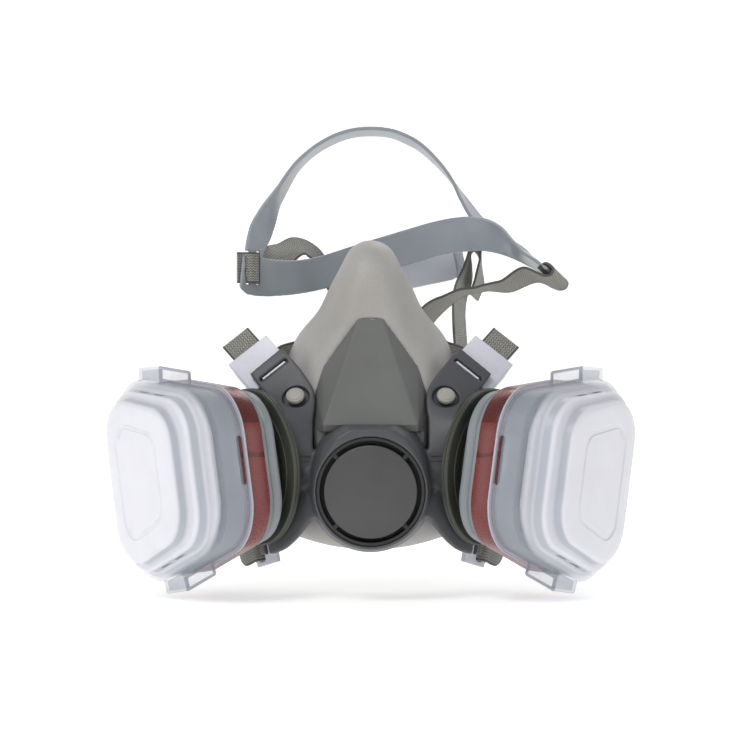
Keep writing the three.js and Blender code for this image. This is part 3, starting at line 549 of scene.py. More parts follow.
def turned(bm, profile):
    """Spins a closed profile of (radius, height) points right round z."""
    verts = [bm.verts.new((radius, 0, height)) for radius, height in profile]
    edges = [bm.edges.new((a, b)) for a, b in zip(verts, verts[1:] + verts[:1])]
    bmesh.ops.spin(bm, geom=verts + edges, cent=(0, 0, 0), axis=(0, 0, 1),
                   angle=2 * math.pi, steps=ROUND_STEPS, use_merge=True)
    bmesh.ops.remove_doubles(bm, verts=bm.verts, dist=1e-4)
    bmesh.ops.recalc_face_normals(bm, faces=bm.faces)


def ring_of(inner, outer, low, high, axes, edge=0.25):
    """A ring with chamfered edges."""
    bm = bmesh.new()
    turned(bm, [(inner + edge, low), (outer - edge, low), (outer, low + edge),
                (outer, high - edge), (outer - edge, high), (inner + edge, high),
                (inner, high - edge), (inner, low + edge)])
    bmesh.ops.transform(bm, matrix=axes, verts=bm.verts)
    return bm


def disc_of(radius, low, high, axes, edge=0.3, steps=ROUND_STEPS):
    """A disc with rounded edges."""
    bm = bmesh.new()
    rod(bm, radius, low, high, segments=steps)
    rims = [e for e in bm.edges if len(e.link_faces) == 2
            and any(len(f.verts) > 4 for f in e.link_faces)]
    bmesh.ops.bevel(bm, geom=rims, offset=edge, segments=3, profile=0.5, affect="EDGES",
                    material=-1)
    bmesh.ops.transform(bm, matrix=axes, verts=bm.verts)
    return bm


def gathered(*parts):
    """Several closed shells as one bmesh."""
    whole = parts[0]
    for part in parts[1:]:
        mesh = bpy.data.meshes.new("part")
        part.to_mesh(mesh)
        whole.from_mesh(mesh)
        bpy.data.meshes.remove(mesh)
        part.free()
    return whole


def turned_about_z(degrees):
    return Matrix.Rotation(math.radians(degrees), 4, "Z")


seat_bars = bmesh.new()
for angle in (0, 90):
    box(seat_bars, -13, 13, -0.9, 0.9, 51, 53, FRONT @ turned_about_z(angle))
seat = gathered(ring_of(12.2, 15.3, 50.6, 55.2, FRONT), ring_of(14.6, 17.6, 54.35, 55.2, FRONT),
                disc_of(2.6, 51, 55.2, FRONT), seat_bars)
piece("valve_seat_moulding", seat, pit_plastic, "facepiece",
      ["exhaust_valve_seat"])
flap = disc_of(14, 55.6, 56.4, FRONT, 0.2)
piece("exhalation_flap_rubber", flap, valve_rubber, "exhalation_flap",
      ["exhalation_flap"])

# ---------------------------------------------------------------- exhalation cover
# A flat disc held in a ring by four short spokes, which snaps into the housing's bore.

cover_bars = bmesh.new()
for angle in (45, 135):
    box(cover_bars, -21, 21, -0.8, 0.8, 66.2, 68.8, FRONT @ turned_about_z(angle))
cover_skirt = ring_of(17.6, 18.9, 66.4, 69.4, FRONT, 0.2)
piece("exhaust_cover_disc", gathered(disc_of(18.9, 68.6, 71, FRONT, 0.55), cover_skirt),
      cover_plastic, "facepiece", ["exhaust_cover"])
piece("exhaust_cover_ring", gathered(ring_of(20.6, 22.2, 60, 68.9, FRONT), cover_bars),
      pit_plastic, "facepiece", ["exhaust_cover"])

# ---------------------------------------------------------------- harness yoke
# A plastic frame that snaps over the shell. Its middle is the valve's housing, and its
# four arms end in slots for the webbing's buckles.

yoke_plastic = moulded_plastic("yoke plastic", tone(76, 77, 81), 0.45)

HOUSING_BORE = 22.3
# Rings of the housing: circle radius, depth, and the corners that square its upper half.
HOOD_RINGS = [
    (25.8, 54.45, [(13, 28), (18, 24.5), (22.3, 18.5), (24.8, 10)]),
    (23.9, 66, [(9.5, 26.6), (15, 23.4), (19.8, 17.6), (22.8, 9.5)]),
    (23.5, 69, [(8.5, 25.6), (14, 22.4)]),
    (22.9, 70, [(8, 24.8), (13.6, 21.4)]),
]
YOKE_THICK = 3
YOKE_GAP = 0.3
YOKE_UPPER_ARM = [
    (-24, -60, -30, 0, 0, 1, 20),
    (-27.2, -57.2, -25, 0.9, 0.1, 0.4, 11),
    (-28.6, -55.5, -16, 1, 0.12, 0, 9.6),
    (-29.6, -51.5, -5, 1, 0.35, 0.15, 11.5),
    (-31.2, -43.6, 4.5, 0.88, 0.2, 0.42, 16.5),
    (-36, -38, 10.6, 0.79, 0.16, 0.59, 18),
    (-40.7, -33.6, 16, 0.777, 0.125, 0.617, 18),
    (-44.4, -30.6, 19.8, 0.777, 0.125, 0.617, 17),
]
YOKE_LOWER_ARM = [
    (-24, -60, -36, 0, 0, 1, 16),
    (-28, -56.5, -40.5, -0.2, 0, 0.98, 12),
    (-33, -51.5, -47, -0.3, 0.05, 0.95, 13),
    (-37.8, -45, -51.5, -0.22, 0.1, 0.97, 14),
    (-42.5, -37.6, -53.4, -0.18, 0.14, 0.97, 15),
    (-46.4, -31.2, -54.6, -0.18, 0.14, 0.97, 14),
]


def strip_rows(stops, width, thick, section, per_span):
    """Rows of points for a strip along a smooth path, and how far along each row is."""
    path = [Vector(stop[:3]) for stop in stops]
    sides = [Vector(stop[3:6]) for stop in stops]
    widths = [stop[6] if len(stop) > 6 else width for stop in stops]
    steps = (len(stops) - 1) * per_span
    rows, along, run, last = [], [], 0, None
    for index in range(steps + 1):
        at = index / steps
        centre = point_on(path, at)
        tangent = (point_on(path, min(at + 1e-4, 1)) - point_on(path, max(at - 1e-4, 0)))
        tangent.normalize()
        side = point_on(sides, at)
        side = (side - tangent * side.dot(tangent)).normalized()
        face = tangent.cross(side).normalized()
        span = min(int(at * (len(stops) - 1)), len(stops) - 2)
        share = at * (len(stops) - 1) - span
        half = (widths[span] * (1 - share) + widths[span + 1] * share) / 2
        run += (centre - last).length if last else 0
        last = centre
        rows.append([centre + side * s * half + face * f * thick / 2 for s, f in section])
        along.append((run, [s * half for s, _ in section]))
    return rows, along


SQUARE = [(1, 1), (-1, 1), (-1, -1), (1, -1)]
yoke = bmesh.new()
for stops in (YOKE_UPPER_ARM, YOKE_LOWER_ARM):
    rows, _ = strip_rows(stops, 14, YOKE_THICK, SQUARE, 8)
    loft(yoke, rows)
    loft(yoke, [[Vector((-p.x, p.y, p.z)) for p in row] for row in rows])
housing = []
for radius, depth, corners in HOOD_RINGS:
    outline = [(x * side, z) for x, z in corners for side in (1, -1)]
    outline += [(radius * math.cos(math.radians(a)), radius * math.sin(math.radians(a)))
                for a in range(0, 360, 4)]
    housing += [FRONT @ Vector((x, y, depth)) for x, y in outline]
yoke = finished(gathered(hull(housing), yoke), REMESH={"mode": "VOXEL", "voxel_size": 0.5})


def grown(points):
    """The shell's solid with the clearance that the yoke leaves round it."""
    wider = [(x * (1 + YOKE_GAP / OPENING_HALF_WIDTH), y,
              z + (z + 10) * (YOKE_GAP / OPENING_HALF_HEIGHT)) for x, y, z in points]
    return hull([(x, y + step, z) for step in (-YOKE_GAP, YOKE_GAP) for x, y, z in wider])


def buckle_axes(centre, across, away):
    """Axes at a slot: w along it, a outwards from the mask, n square to both."""
    w = Vector(across).normalized()
    a = (Vector(away) - w * Vector(away).dot(w)).normalized()
    return axes_of(w, a, w.cross(a), Vector(centre))


UPPER_SLOT = buckle_axes((-40.7, -33.6, 16), (0.777, 0.125, 0.617), (-0.586, 0.502, 0.636))
LOWER_SLOT = buckle_axes((-43, -36.6, -55.2), (-0.18, 0.14, 0.97), (-0.51, 0.83, -0.21))
STUD_SEAT = buckle_axes((-31.2, -43.6, 4.5), (0.88, 0.2, 0.42), (-0.4, 0.55, 0.62))

for tool in (grown(UPPER_FACETS), grown(LOWER_PLATE)):
    yoke = carved(yoke, tool)
for radius, low in ((HOUSING_BORE, 59), (18.4, 50)):
    bore = bmesh.new()
    rod(bore, radius, low, 80, FRONT, 96)
    yoke = carved(yoke, bore)
hood_space = bmesh.new()
box(hood_space, -21, 21, -60.5, -50, -9.4, -4)
yoke = carved(yoke, hood_space)
for side in (Matrix(), Matrix.Scale(-1, 4, (1, 0, 0))):
    for slot_axes in (UPPER_SLOT, LOWER_SLOT):
        slot = bmesh.new()
        box(slot, -7, 7, -1.2, 1.2, -4, 4, side @ slot_axes)
        yoke = carved(yoke, slot)
    for radius, low in ((5.7, -0.7), (2.2, -8)):
        pit = bmesh.new()
        rod(pit, radius, low, 6, side @ STUD_SEAT, 40)
        yoke = carved(yoke, pit)
ridges = bmesh.new()
for side in (1, -1):
    for level in (-18.4, -20.6, -22.8):
        box(ridges, side * 28 - 3.2, side * 28 + 3.2, -58.2, -56.8, level - 0.3, level + 0.3)
yoke = gathered(moulded(yoke, 0.42, 5), ridges)
piece("harness_yoke_moulding", yoke, yoke_plastic, "facepiece",
      ["harness_yoke"], 60)

stud_plastic = moulded_plastic("stud plastic", tone(168, 165, 158), 0.45)
stud_top = disc_of(3.9, 0.7, 3.1, STUD_SEAT, 0.9, 48)
stud_dish = disc_of(2.9, 2.9, 3.3, STUD_SEAT, 0.3, 48)
stud = gathered(stud_top, stud_dish, disc_of(1.9, -2.4, 1, STUD_SEAT, 0.2, 24))
pair("yoke_stud", stud, stud_plastic, "facepiece")

# ---------------------------------------------------------------- inhalation ports
# Each port is a tube with a wide flange, moulded in dark plastic. Three lugs outside
# hold the cartridge, and a spider inside carries the inhalation flap.

port_plastic = moulded_plastic("port plastic", tone(66, 68, 60), 0.4)
gasket_rubber = moulded_plastic("gasket rubber", tone(30, 30, 30), 0.6)

port = bmesh.new()
turned(port, [
    (14.4, -24), (17.8, -24), (18, -23.8), (18, -7.8), (18.4, -7.4), (30.6, -7.4), (31, -7.9),
    (32.2, -7.9), (33, -7.1), (33, -6.4), (32.6, -6.1), (33, -5.8), (33, -5.1), (32.4, -4.6),
    (30.5, -4.6), (30.2, -4.9), (27, -4.9), (26.7, -4.6), (16.6, -4.6), (16.4, -4.4),
    (16.4, 3.3), (16.1, 3.6), (14.7, 3.6), (14.4, 3.3),
])
for angle in (90, 210, 330):
    box(port, 14.8, 18.8, -3, 3, 1.9, 3.6, turned_about_z(angle))
for angle in (0, 60, 120):
    box(port, -15.5, 15.5, -0.8, 0.8, -20.6, -18.8, turned_about_z(angle))
rod(port, 2.4, -20.6, -18.8)
bmesh.ops.transform(port, matrix=PORT, verts=port.verts)
pair("port_body", port, port_plastic, "facepiece", 28)
pair("inhalation_flap", disc_of(13.4, -21.5, -20.9, PORT, 0.2), valve_rubber,
     "inhalation_flap", sided_body=True)
pair("port_gasket", ring_of(16.7, 24, -4.3, -0.3, PORT, 0.8), gasket_rubber, "facepiece")

# ---------------------------------------------------------------- cartridges
# Two grey plastic shells, a shallow pan and a deep body, are welded round a bed of
# carbon. A printed film band covers the body, and a slotted lid closes its front.

CARTRIDGE = {"near": 31.2, "far": -43.2, "near_half": 28.8, "far_half": 45.2, "radius": 21}
CORNER_STEPS = 12


def keystone(inset, size=CARTRIDGE):
    """A four-sided outline with round corners, taller on the far side, as (t, u)."""
    slope = (size["far_half"] - size["near_half"]) / (size["near"] - size["far"])
    lean = math.sqrt(1 + slope * slope)
    near, far = size["near"] - inset, size["far"] + inset

    def half_at(t):
        return size["near_half"] + slope * (size["near"] - t) - lean * inset

    radius = max(size["radius"] - inset * 0.8, 3)
    corners = [Vector((near, -half_at(near))), Vector((near, half_at(near))),
               Vector((far, half_at(far))), Vector((far, -half_at(far)))]
    outline = []
    for index, corner in enumerate(corners):
        before = (corners[index - 1] - corner).normalized()
        after = (corners[(index + 1) % 4] - corner).normalized()
        half = math.acos(before.dot(after)) / 2
        hub = corner + (before + after).normalized() * (radius / math.sin(half))
        start = corner + before * (radius / math.tan(half)) - hub
        end = corner + after * (radius / math.tan(half)) - hub
        turn = start.angle_signed(end)
        for step in range(CORNER_STEPS + 1):
            spoke = start.copy()
            spoke.rotate(Matrix.Rotation(-turn * step / CORNER_STEPS, 2))
            outline.append(hub + spoke)
    return outline


def shell_of(profile, ring=False):
    """A skin through keystones, each given as (inset, n) or (inset, n, size)."""
    bm = bmesh.new()
    rows = [[PORT @ Vector((t, u, stop[1])) for t, u in keystone(stop[0], *stop[2:])]
            for stop in profile]
    loft(bm, rows, ring)
    return bm


def half_round(inset, n, radius, start, end, size=CARTRIDGE, steps=5):
    """Profile stops round an edge, from one angle to another, about (inset, n)."""
    stops = []
    for step in range(steps + 1):
        angle = math.radians(start + (end - start) * step / steps)
        stops.append((inset - radius * math.cos(angle), n + radius * math.sin(angle), size))
    return stops


cartridge_plastic = moulded_plastic("cartridge plastic", tone(134, 141, 144), 0.4, 0.00002)

socket = bmesh.new()
rod(socket, 17.3, -1, 2.2, PORT, 72)
for name, notches in (("left", (60, 180, 300)), ("right", (0, 120, 240))):
    pan = shell_of([(3.4, 1.4), (3.4, 4.7), *half_round(2.6, 4.6, 0.6, 150, 30),
                    (1.6, 4.2), *half_round(3.6, 2, 2, 0, -90), (8, 0)][::-1])
    pan_socket = socket.copy()
    pan = carved(pan, pan_socket)
    for angle in notches:
        notch = bmesh.new()
        box(notch, 12, 19.6, -3.8, 3.8, -1, 2.2, PORT @ turned_about_z(angle))
        pan = carved(pan, notch)
    if name == "right":
        pan = flipped(pan)
    piece(name + "_cartridge_pan_finish", pan, cartridge_plastic, name + "_cartridge",
          [name + "_cartridge_pan"])

body_shell = shell_of([
    (4.5, 6.5), (4.5, 5.6), *half_round(4.2, 5.6, 0.3, 180, 270, steps=2),
    *half_round(1.8, 6.1, 0.8, -90, 0), (1, 7.2), (0.35, 7.7), (0, 8), (0, 19.3), (0.25, 19.5),
    (0.25, 20), (0, 20.2), (0, 26.9), *half_round(0.6, 26.9, 0.6, 0, 90),
    *half_round(1.4, 26.9, 0.6, 90, 180), (2, 6.5),
], ring=True)
pair("cartridge_body", body_shell, cartridge_plastic, "cartridge",
     sided_body=True)

label_film = Look("printed film", Specular_IOR_Level=0.6)
# The dark panel and the fine line are painted reflections of the glossy film, laid as bands in
# height; the red beneath them is the film's print.
height = label_film.node("ShaderNodeSeparateXYZ", {}, {0: label_film.position()}, 2)
ripple = label_film.noise(120, 2)
reflection_panel = (label_film.band(height + ripple * 0.002, -0.0042, -0.0036)
              * label_film.band(height + ripple * 0.002, 0.0068, 0.006))
reflection_line = label_film.band(abs(height + ripple * 0.004 + 0.0155), 0.0012, 0.0008)
reflection_share = label_film.band(reflection_panel + reflection_line, 0, 1)
film_dust = label_film.noise(1100, 3)
label_film.paint(
    Base_Color=label_film.mix(reflection_share, tone(115, 44, 41), tone(84, 20, 12)),
    Roughness=film_dust * 0.12 + 0.22,
)
label_film.bump(ripple * 0.6 + film_dust * 0.1, 0.00016)
label = shell_of([(-0.3, 8.1), (-0.65, 8.1), (-0.7, 8.2), (-0.7, 18.9), (-0.65, 19),
                  (-0.3, 19)], ring=True)
pair("cartridge_label", label, label_film, "cartridge", sided_body=True)

carbon = Look("carbon granules", Specular_IOR_Level=0.3)
grains = carbon.node("ShaderNodeTexVoronoi", {}, {"Vector": carbon.position(), "Scale": 900},
                     "Distance")
carbon.paint(Base_Color=carbon.mix(grains, tone(20, 20, 21), tone(58, 58, 60)),
             Roughness=grains * 0.3 + 0.6)
carbon.bump(grains, 0.0006)
pair("carbon_bed", shell_of([(2.3, 6.8), (2.3, 24)]), carbon, "cartridge",
     sided_body=True)

lid = shell_of([(2.3, 24.3), (2.3, 26.6), (2.6, 26.9)])
for column in (-2, -1, 0, 1):
    for row in (-1, 0, 1):
        opening = bmesh.new()
        box(opening, column * 14 - 4, column * 14 + 8, row * 18 - 7, row * 18 + 7, 20, 30, PORT)
        lid = carved(lid, opening)
pair("cartridge_lid", lid, cartridge_plastic, "cartridge", sided_body=True)

# ---------------------------------------------------------------- prefilters
# A pad of needled felt lies on the lid, and is thrown away when it clogs.

felt = Look("needled felt", Sheen_Weight=0.4, Specular_IOR_Level=0.2)
fibres = felt.noise(1500, 6, 0.75)
felt.paint(Base_Color=felt.mix(fibres, tone(232, 232, 230), tone(252, 252, 250)),
           Roughness=fibres * 0.1 + 0.85)
felt.bump(fibres, 0.0004)
pad = shell_of([(5, 27.8), (4.2, 28.2), (4, 29), (4, 30.6), (4.4, 31.3), (5.5, 31.6)])
for one in pair("prefilter", pad, felt, "retainer", sided_body=True):
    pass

# ---------------------------------------------------------------- retainers
# A frosted snap-on cap holds the pad. Its front steps in twice to a panel, its skirt
# lets the grey body show through, and two tabs spread it for removal.

STEP = {"near": 26, "far": -38, "near_half": 28, "far_half": 42, "radius": 17}
TOP = {"near": 19.5, "far": -34, "near_half": 25, "far_half": 38.5, "radius": 16}
PANEL = {"near": 8, "far": -25, "near_half": 17, "far_half": 26, "radius": 8}

outside = [
    *half_round(-1.65, 17.35, 0.65, -90, 0), (-2.3, 31),
    *half_round(0.2, 31, 2.5, 0, 90), (2.4, 33.5),
    (-1.6, 33.55, STEP), (-0.6, 33.9, STEP), (-0.1, 34.6, STEP), (0, 37.4, STEP),
    *half_round(2.1, 37.4, 2.1, 0, 90, STEP), (3, 39.5, STEP),
    (-1.6, 39.55, TOP), (-0.6, 39.9, TOP), (-0.1, 40.6, TOP), (0, 42.4, TOP),
    *half_round(2.1, 42.4, 2.1, 0, 90, TOP), (6, 44.5, TOP),
    (-0.8, 44.5, PANEL), (-0.2, 43.9, PANEL), (0.9, 43.9, PANEL), (1.4, 44.4, PANEL),
    (4, 44.5, PANEL),
]
inside = [
    (4, 43.1, PANEL), (4, 43.2, TOP), *half_round(2.1, 42.2, 0.9, 90, 0, TOP),
    (1.3, 38.3, TOP), (4, 38.2, STEP), *half_round(2.2, 37.2, 0.9, 90, 0, STEP),
    (1.3, 32.3, STEP), (2.4, 32.2), *half_round(0.2, 31, 1.2, 90, 0), (-1, 17.5),
    (-1.3, 16.75),
]
cap = shell_of([*inside, *outside])

slant = (45.2 - 28.8) / (31.2 + 43.2)
tabs, tab_hollows = bmesh.new(), bmesh.new()
for side in (1, -1):
    edge = 28.8 + slant * (31.2 + 16) + 2.3
    at = (PORT @ Matrix.Translation((-16, side * edge, 0))
          @ Matrix.Rotation(-side * math.atan(slant), 4, "Z") @ Matrix.Scale(side, 4, (0, 1, 0)))
    box(tabs, -13, 13, -2.6, 4, 16.7, 28, at)
    box(tab_hollows, -11.6, 11.6, -1.4, 2.7, 15.7, 26.6, at)
bmesh.ops.recalc_face_normals(tabs, faces=tabs.faces)
bmesh.ops.bevel(tabs, geom=[e for e in tabs.edges], offset=1.2, segments=4, profile=0.5,
                affect="EDGES", material=-1)
cap = carved(cap, tabs, "UNION")
cap = carved(cap, tab_hollows)
slot_window = bmesh.new()
box(slot_window, 28, 40, -8, 12, 18.3, 21.5)
bmesh.ops.bevel(slot_window, geom=[e for e in slot_window.edges
                                   if abs(e.verts[0].co.x - e.verts[1].co.x) > 1],
                offset=1.55, segments=6, profile=0.5, affect="EDGES", material=-1)
bmesh.ops.transform(slot_window, matrix=PORT, verts=slot_window.verts)
inlets = bmesh.new()
for t in (-22, -10, 2):
    box(inlets, t - 3.5, t + 3.5, -60, 60, 34.9, 37.1, PORT)
for tool in (slot_window, inlets):
    cap = carved(cap, tool)

def along_axis(look, axis):
    """Distance from the origin along an axis, in metres."""
    settings = {"operation": "DOT_PRODUCT"}
    return look.node("ShaderNodeVectorMath", settings, {0: look.position(), 1: axis}, 1)


def frosted_plastic(name, side):
    look = Look(name, Specular_IOR_Level=0.5)
    n = Vector((port_n.x * side, port_n.y, port_n.z))
    centre = Vector((PORT_CENTRE.x * side, PORT_CENTRE.y, PORT_CENTRE.z)) * MM
    depth = along_axis(look, tuple(n)) - n.dot(centre)
    front = look.band(depth, 0.0315, 0.0345)
    rim = look.band(depth, 0.018, 0.0176)
    haze = look.noise(60, 3)
    dust = look.noise(1300, 3)
    # The two risers between the steps are painted greyer than the step tops: painted shade where
    # the risers turn away from the light.
    low_riser_shade = look.band(abs(depth - 0.0362), 0.0026, 0.0012)
    high_riser_shade = look.band(abs(depth - 0.0415), 0.0024, 0.001)
    face = look.mix(low_riser_shade + high_riser_shade, tone(243, 243, 249), tone(200, 204, 213))
    look.paint(
        Base_Color=look.mix(front, tone(190, 196, 208), face),
        Roughness=dust * 0.14 + 0.26,
        Alpha=front * 0.5 + rim * 0.6 + haze * 0.1 + 0.22,
    )
    look.bump(dust * 0.4 + haze, 0.00008)
    return look


for side, name in ((1, "left"), (-1, "right")):
    look = frosted_plastic(name + " frosted plastic", side)
    one = cap.copy() if side == 1 else flipped(cap)
    piece(name + "_retainer_cap", one, look, name + "_retainer",
          [name + "_retainer"], 40)

# ---------------------------------------------------------------- buckles
# Each upper buckle is a cover plate with two cheeks and a bar for the webbing; its tongue
# hooks through the yoke's slot. The lower ones are plain frames.

buckle_plastic = moulded_plastic("buckle plastic", tone(213, 214, 224), 0.35, 0.00002)

upper_buckle = bmesh.new()
offset = -2.4
box(upper_buckle, offset - 10.3, offset + 10.3, -0.6, 18.2, -4.1, -1.9)
box(upper_buckle, offset - 10.3, offset - 8.2, 3, 16, -10.8, -4)
box(upper_buckle, offset + 8.2, offset + 10.3, 3, 16, -10.8, -4)
box(upper_buckle, -6, 6, -0.5, 0.5, -3, 1)
rod(upper_buckle, 1.5, -9, 9, Matrix.Translation((offset, 11, -8.9))
    @ Matrix.Rotation(math.radians(90), 4, "Y"), 24)
bmesh.ops.transform(upper_buckle, matrix=UPPER_SLOT, verts=upper_buckle.verts)
pair("upper_buckle", moulded(upper_buckle, 0.25, 3), buckle_plastic, "upper_buckle",
     60, sided_body=True)

lower_buckle = bmesh.new()
box(lower_buckle, -9.4, 8.6, -0.6, 17, -3.9, -1.9)
window = bmesh.new()
box(window, -7.5, 7.5, 8.8, 13.6, -6, 0)
lower_buckle = carved(lower_buckle, window)
box(lower_buckle, -6, 6, -0.5, 0.5, -3, 1)
bmesh.ops.transform(lower_buckle, matrix=LOWER_SLOT, verts=lower_buckle.verts)
pair("lower_buckle", moulded(lower_buckle, 0.25, 3), buckle_plastic, "lower_buckle",
     60, sided_body=True)

# ---------------------------------------------------------------- head cradle
# A smooth grey band lies round the back of the head, and a second one crosses the crown.
# They are one moulding, with slots at the ends for the webbing.

cradle_plastic = moulded_plastic("cradle plastic", tone(146, 153, 160), 0.3, 0.00001, 1500)

CRADLE_BAND = [
    (-58.5, 31.5, 61, -0.1, 0, 1, 15),
    (-55, 35, 60, -0.05, 0, 1, 19),
    (-50, 40, 59, 0, 0, 1, 18),
    (-44, 49, 59, 0, 0, 1, 17),
    (-33, 70, 60.5, 0, 0, 1, 16),
    (-22, 85, 63.5, 0, 0, 1, 16),
    (-10, 94, 67.5, 0, 0, 1, 16.5),
    (3, 97, 71.5, 0, 0, 1, 17),
    (18, 95.5, 76, 0, 0, 1, 17),
    (31, 90, 79.5, 0, 0, 1, 17),
    (43, 80, 81, 0, -0.05, 1, 17),
    (53, 66, 80, -0.1, -0.15, 0.95, 16),
    (61, 50, 76, -0.25, -0.4, 0.85, 16),
    (67, 38, 70.5, -0.42, -0.62, 0.65, 16),
    (73, 28, 65, -0.52, -0.71, 0.47, 18),
    (78, 19, 61, -0.53, -0.73, 0.45, 19),
    (82, 12.5, 57.5, -0.53, -0.73, 0.45, 15),
]
CRADLE_CROWN = [
    (-54.3, 35.7, 62, 0.7, 0.7, 0, 9),
    (-53, 37, 71, 0.72, 0.68, 0.05, 11),
    (-50.5, 39, 79, 0.72, 0.66, 0.12, 13.5),
    (-47, 41.5, 87, 0.55, 0.8, 0.2, 15),
    (-42, 46, 97, 0.25, 0.95, 0.1, 16),
    (-33, 56, 112, 0.1, 1, 0, 16),
    (-22, 65, 122, 0, 1, -0.1, 16),
    (-10, 71, 127.6, 0, 1, -0.1, 16),
    (0, 74, 129, 0, 1, -0.1, 16),
    (11, 77, 128, 0, 1, -0.1, 16),
    (22, 80, 123, 0, 1, -0.1, 16),
    (31, 84, 115.5, 0, 1, -0.05, 16),
    (38, 88, 107.5, 0.05, 1, 0, 16),
    (43, 91, 100, 0.2, 0.98, 0.05, 16),
    (49.5, 93, 91, 0.36, 0.93, 0.05, 16),
    (57, 88, 83, 0.45, 0.87, -0.15, 16),
    (64, 72, 77, 0.5, 0.8, -0.35, 15),
    (69, 54, 72.5, 0.53, 0.75, -0.42, 14),
    (73, 38, 68, 0.53, 0.73, -0.45, 13),
    (76, 26, 63, 0.53, 0.73, -0.45, 12),
]
# A band is a little thicker along its two edges than in its middle.
BEADED = [(1, 0.4), (0.97, 1), (0.86, 1), (0.8, 0.7), (0, 0.7), (-0.8, 0.7), (-0.86, 1),
          (-0.97, 1), (-1, 0.4), (-1, -0.4), (-0.97, -1), (0, -1), (0.97, -1), (1, -0.4)]

LEFT_EYE = (Vector((-58.5, 31.5, 63)), Vector((0.7, 0.7, 0)), Vector((0.7, -0.7, 0)),
            Vector((0, 0, 1)))
RIGHT_EYE = (Vector((82, 12.5, 57.5)), Vector((-0.53, 0.71, 0.46)), Vector((0.65, 0, 0.76)),
             Vector((0.54, 0.72, -0.44)))

cradle = bmesh.new()
for stops in (CRADLE_BAND, CRADLE_CROWN):
    rows, _ = strip_rows(stops, 16, 1.7, BEADED, 10)
    loft(cradle, rows)
cradle = finished(cradle, REMESH={"mode": "VOXEL", "voxel_size": 0.5})
for (end, inwards, _, across), spans in ((LEFT_EYE, ((2.1, 4.5), (8.5, 10.8))),
                                         (RIGHT_EYE, ((3.8, 7.2),))):
    e, w = inwards.normalized(), across.normalized()
    for near, far in spans:
        eyelet = bmesh.new()
        box(eyelet, near, far, -7.6, 7.6, -5, 5, axes_of(e, w, e.cross(w), end))
        cradle = carved(cradle, eyelet)
piece("head_cradle_moulding", moulded(cradle, 0.45, 4), cradle_plastic, "head_cradle",
      ["head_cradle"], 60)

# ---------------------------------------------------------------- webbing
# Woven elastic, 14 mm wide, with a bound edge on each side. It is sewn through the
# cradle's eyelets, turns round the buckles' bars, and its ends hang free.

WEBBING_WIDTH = 14
WEBBING_THICK = 1.2
WOVEN = [(1, 0.45), (0.965, 0.9), (0.9, 1), (0.86, 0.85), (0.4, 0.85), (0, 0.85), (-0.4, 0.85),
         (-0.86, 0.85), (-0.9, 1), (-0.965, 0.9), (-1, 0.45), (-1, -0.45), (-0.965, -0.9),
         (-0.9, -1), (-0.86, -0.85), (-0.4, -0.85), (0, -0.85), (0.4, -0.85), (0.86, -0.85),
         (0.9, -1), (0.965, -0.9), (1, -0.45)]

webbing = Look("woven elastic", Sheen_Weight=0.25, Specular_IOR_Level=0.25)
run = webbing.along("along")
side = webbing.along("across")
weft = (run * (2 * math.pi / 1.25)).sine()
warp = (side * (2 * math.pi / 1.15) + weft * 0.8).sine()
knit = weft * warp
fuzz = webbing.noise(1700, 4)
bound = webbing.band(abs(side), 5.9, 6.4)
thread = webbing.band(knit * 0.5 + fuzz, 0.2, 0.95)
face = webbing.mix(thread, tone(104, 103, 98), tone(178, 177, 169))
webbing.paint(Base_Color=webbing.mix(bound, face, tone(88, 88, 84)),
              Roughness=fuzz * 0.1 + 0.8)
webbing.bump(knit * 0.35 + fuzz * 0.5, 0.00035)


# Each turn through an eyelet, from its sewn end to where it leaves.
TWO_SLOT_TURNS = [(-0.5, -2.3), (1.9, -1.9), (3.3, 0), (4.4, 1.6), (6.4, 2), (8.4, 1.6),
                  (9.6, 0), (10.8, -2.2), (14.5, -4.8)]
ONE_SLOT_TURNS = [(6.2, -2.1), (5.6, -0.4), (4.9, 1.6), (2.2, 2.3), (-1.4, 1.6), (-2.4, -0.7),
                  (0, -2.8), (4, -3.7), (13, -5.6)]


def eye_loop(eye, turns):
    """Stops for the webbing's turn through an eyelet."""
    end, inwards, up, across = eye
    return [(*(end + inwards * a + up * b), *across) for a, b in turns]


def at_buckle(axes, w, a, n):
    return (*(axes @ Vector((w, a, n))), *(axes.to_3x3() @ Vector((1, 0, 0))))


UPPER_STRAP_END = [
    (-34, 15, 23, 0.4, 0.1, 0.9),
    (-42.8, 5.5, 20, 0.45, 0.05, 0.9),
    (-45.2, -7, 19, 0.6, 0, 0.8),
    at_buckle(UPPER_SLOT, -2.4, 3, -13),
    at_buckle(UPPER_SLOT, -2.4, 7.4, -7.6),
    at_buckle(UPPER_SLOT, -2.4, 11, -5.6),
    at_buckle(UPPER_SLOT, -2.4, 17, -5.4),
    at_buckle(UPPER_SLOT, -2.4, 29, -5.6),
]
LOWER_STRAP_END = [
    at_buckle(LOWER_SLOT, 0, 27, -8),
    at_buckle(LOWER_SLOT, 0, 19, -5.8),
    at_buckle(LOWER_SLOT, 0, 14.6, -5.2),
    at_buckle(LOWER_SLOT, 0, 11.8, -4.4),
    at_buckle(LOWER_SLOT, 0, 11.2, -2.6),
    at_buckle(LOWER_SLOT, 0, 12.4, -0.9),
    at_buckle(LOWER_SLOT, 0, 15.5, -0.7),
    at_buckle(LOWER_SLOT, 0, 18.6, -1.6),
    at_buckle(LOWER_SLOT, 0, 28, -3),
]


def mirrored_stops(stops, across=1):
    return [(-x, y, z, -wx * across, wy * across, wz * across) for x, y, z, wx, wy, wz in stops]


def strap(name, stops, node):
    """Webbing along the stops, on no body; its body, if any, is set after."""
    bm = bmesh.new()
    rows, along = strip_rows(stops, WEBBING_WIDTH, WEBBING_THICK, WOVEN, 9)
    loft(bm, rows, along=along)
    return piece(name, bm, webbing, None, [node], 40)


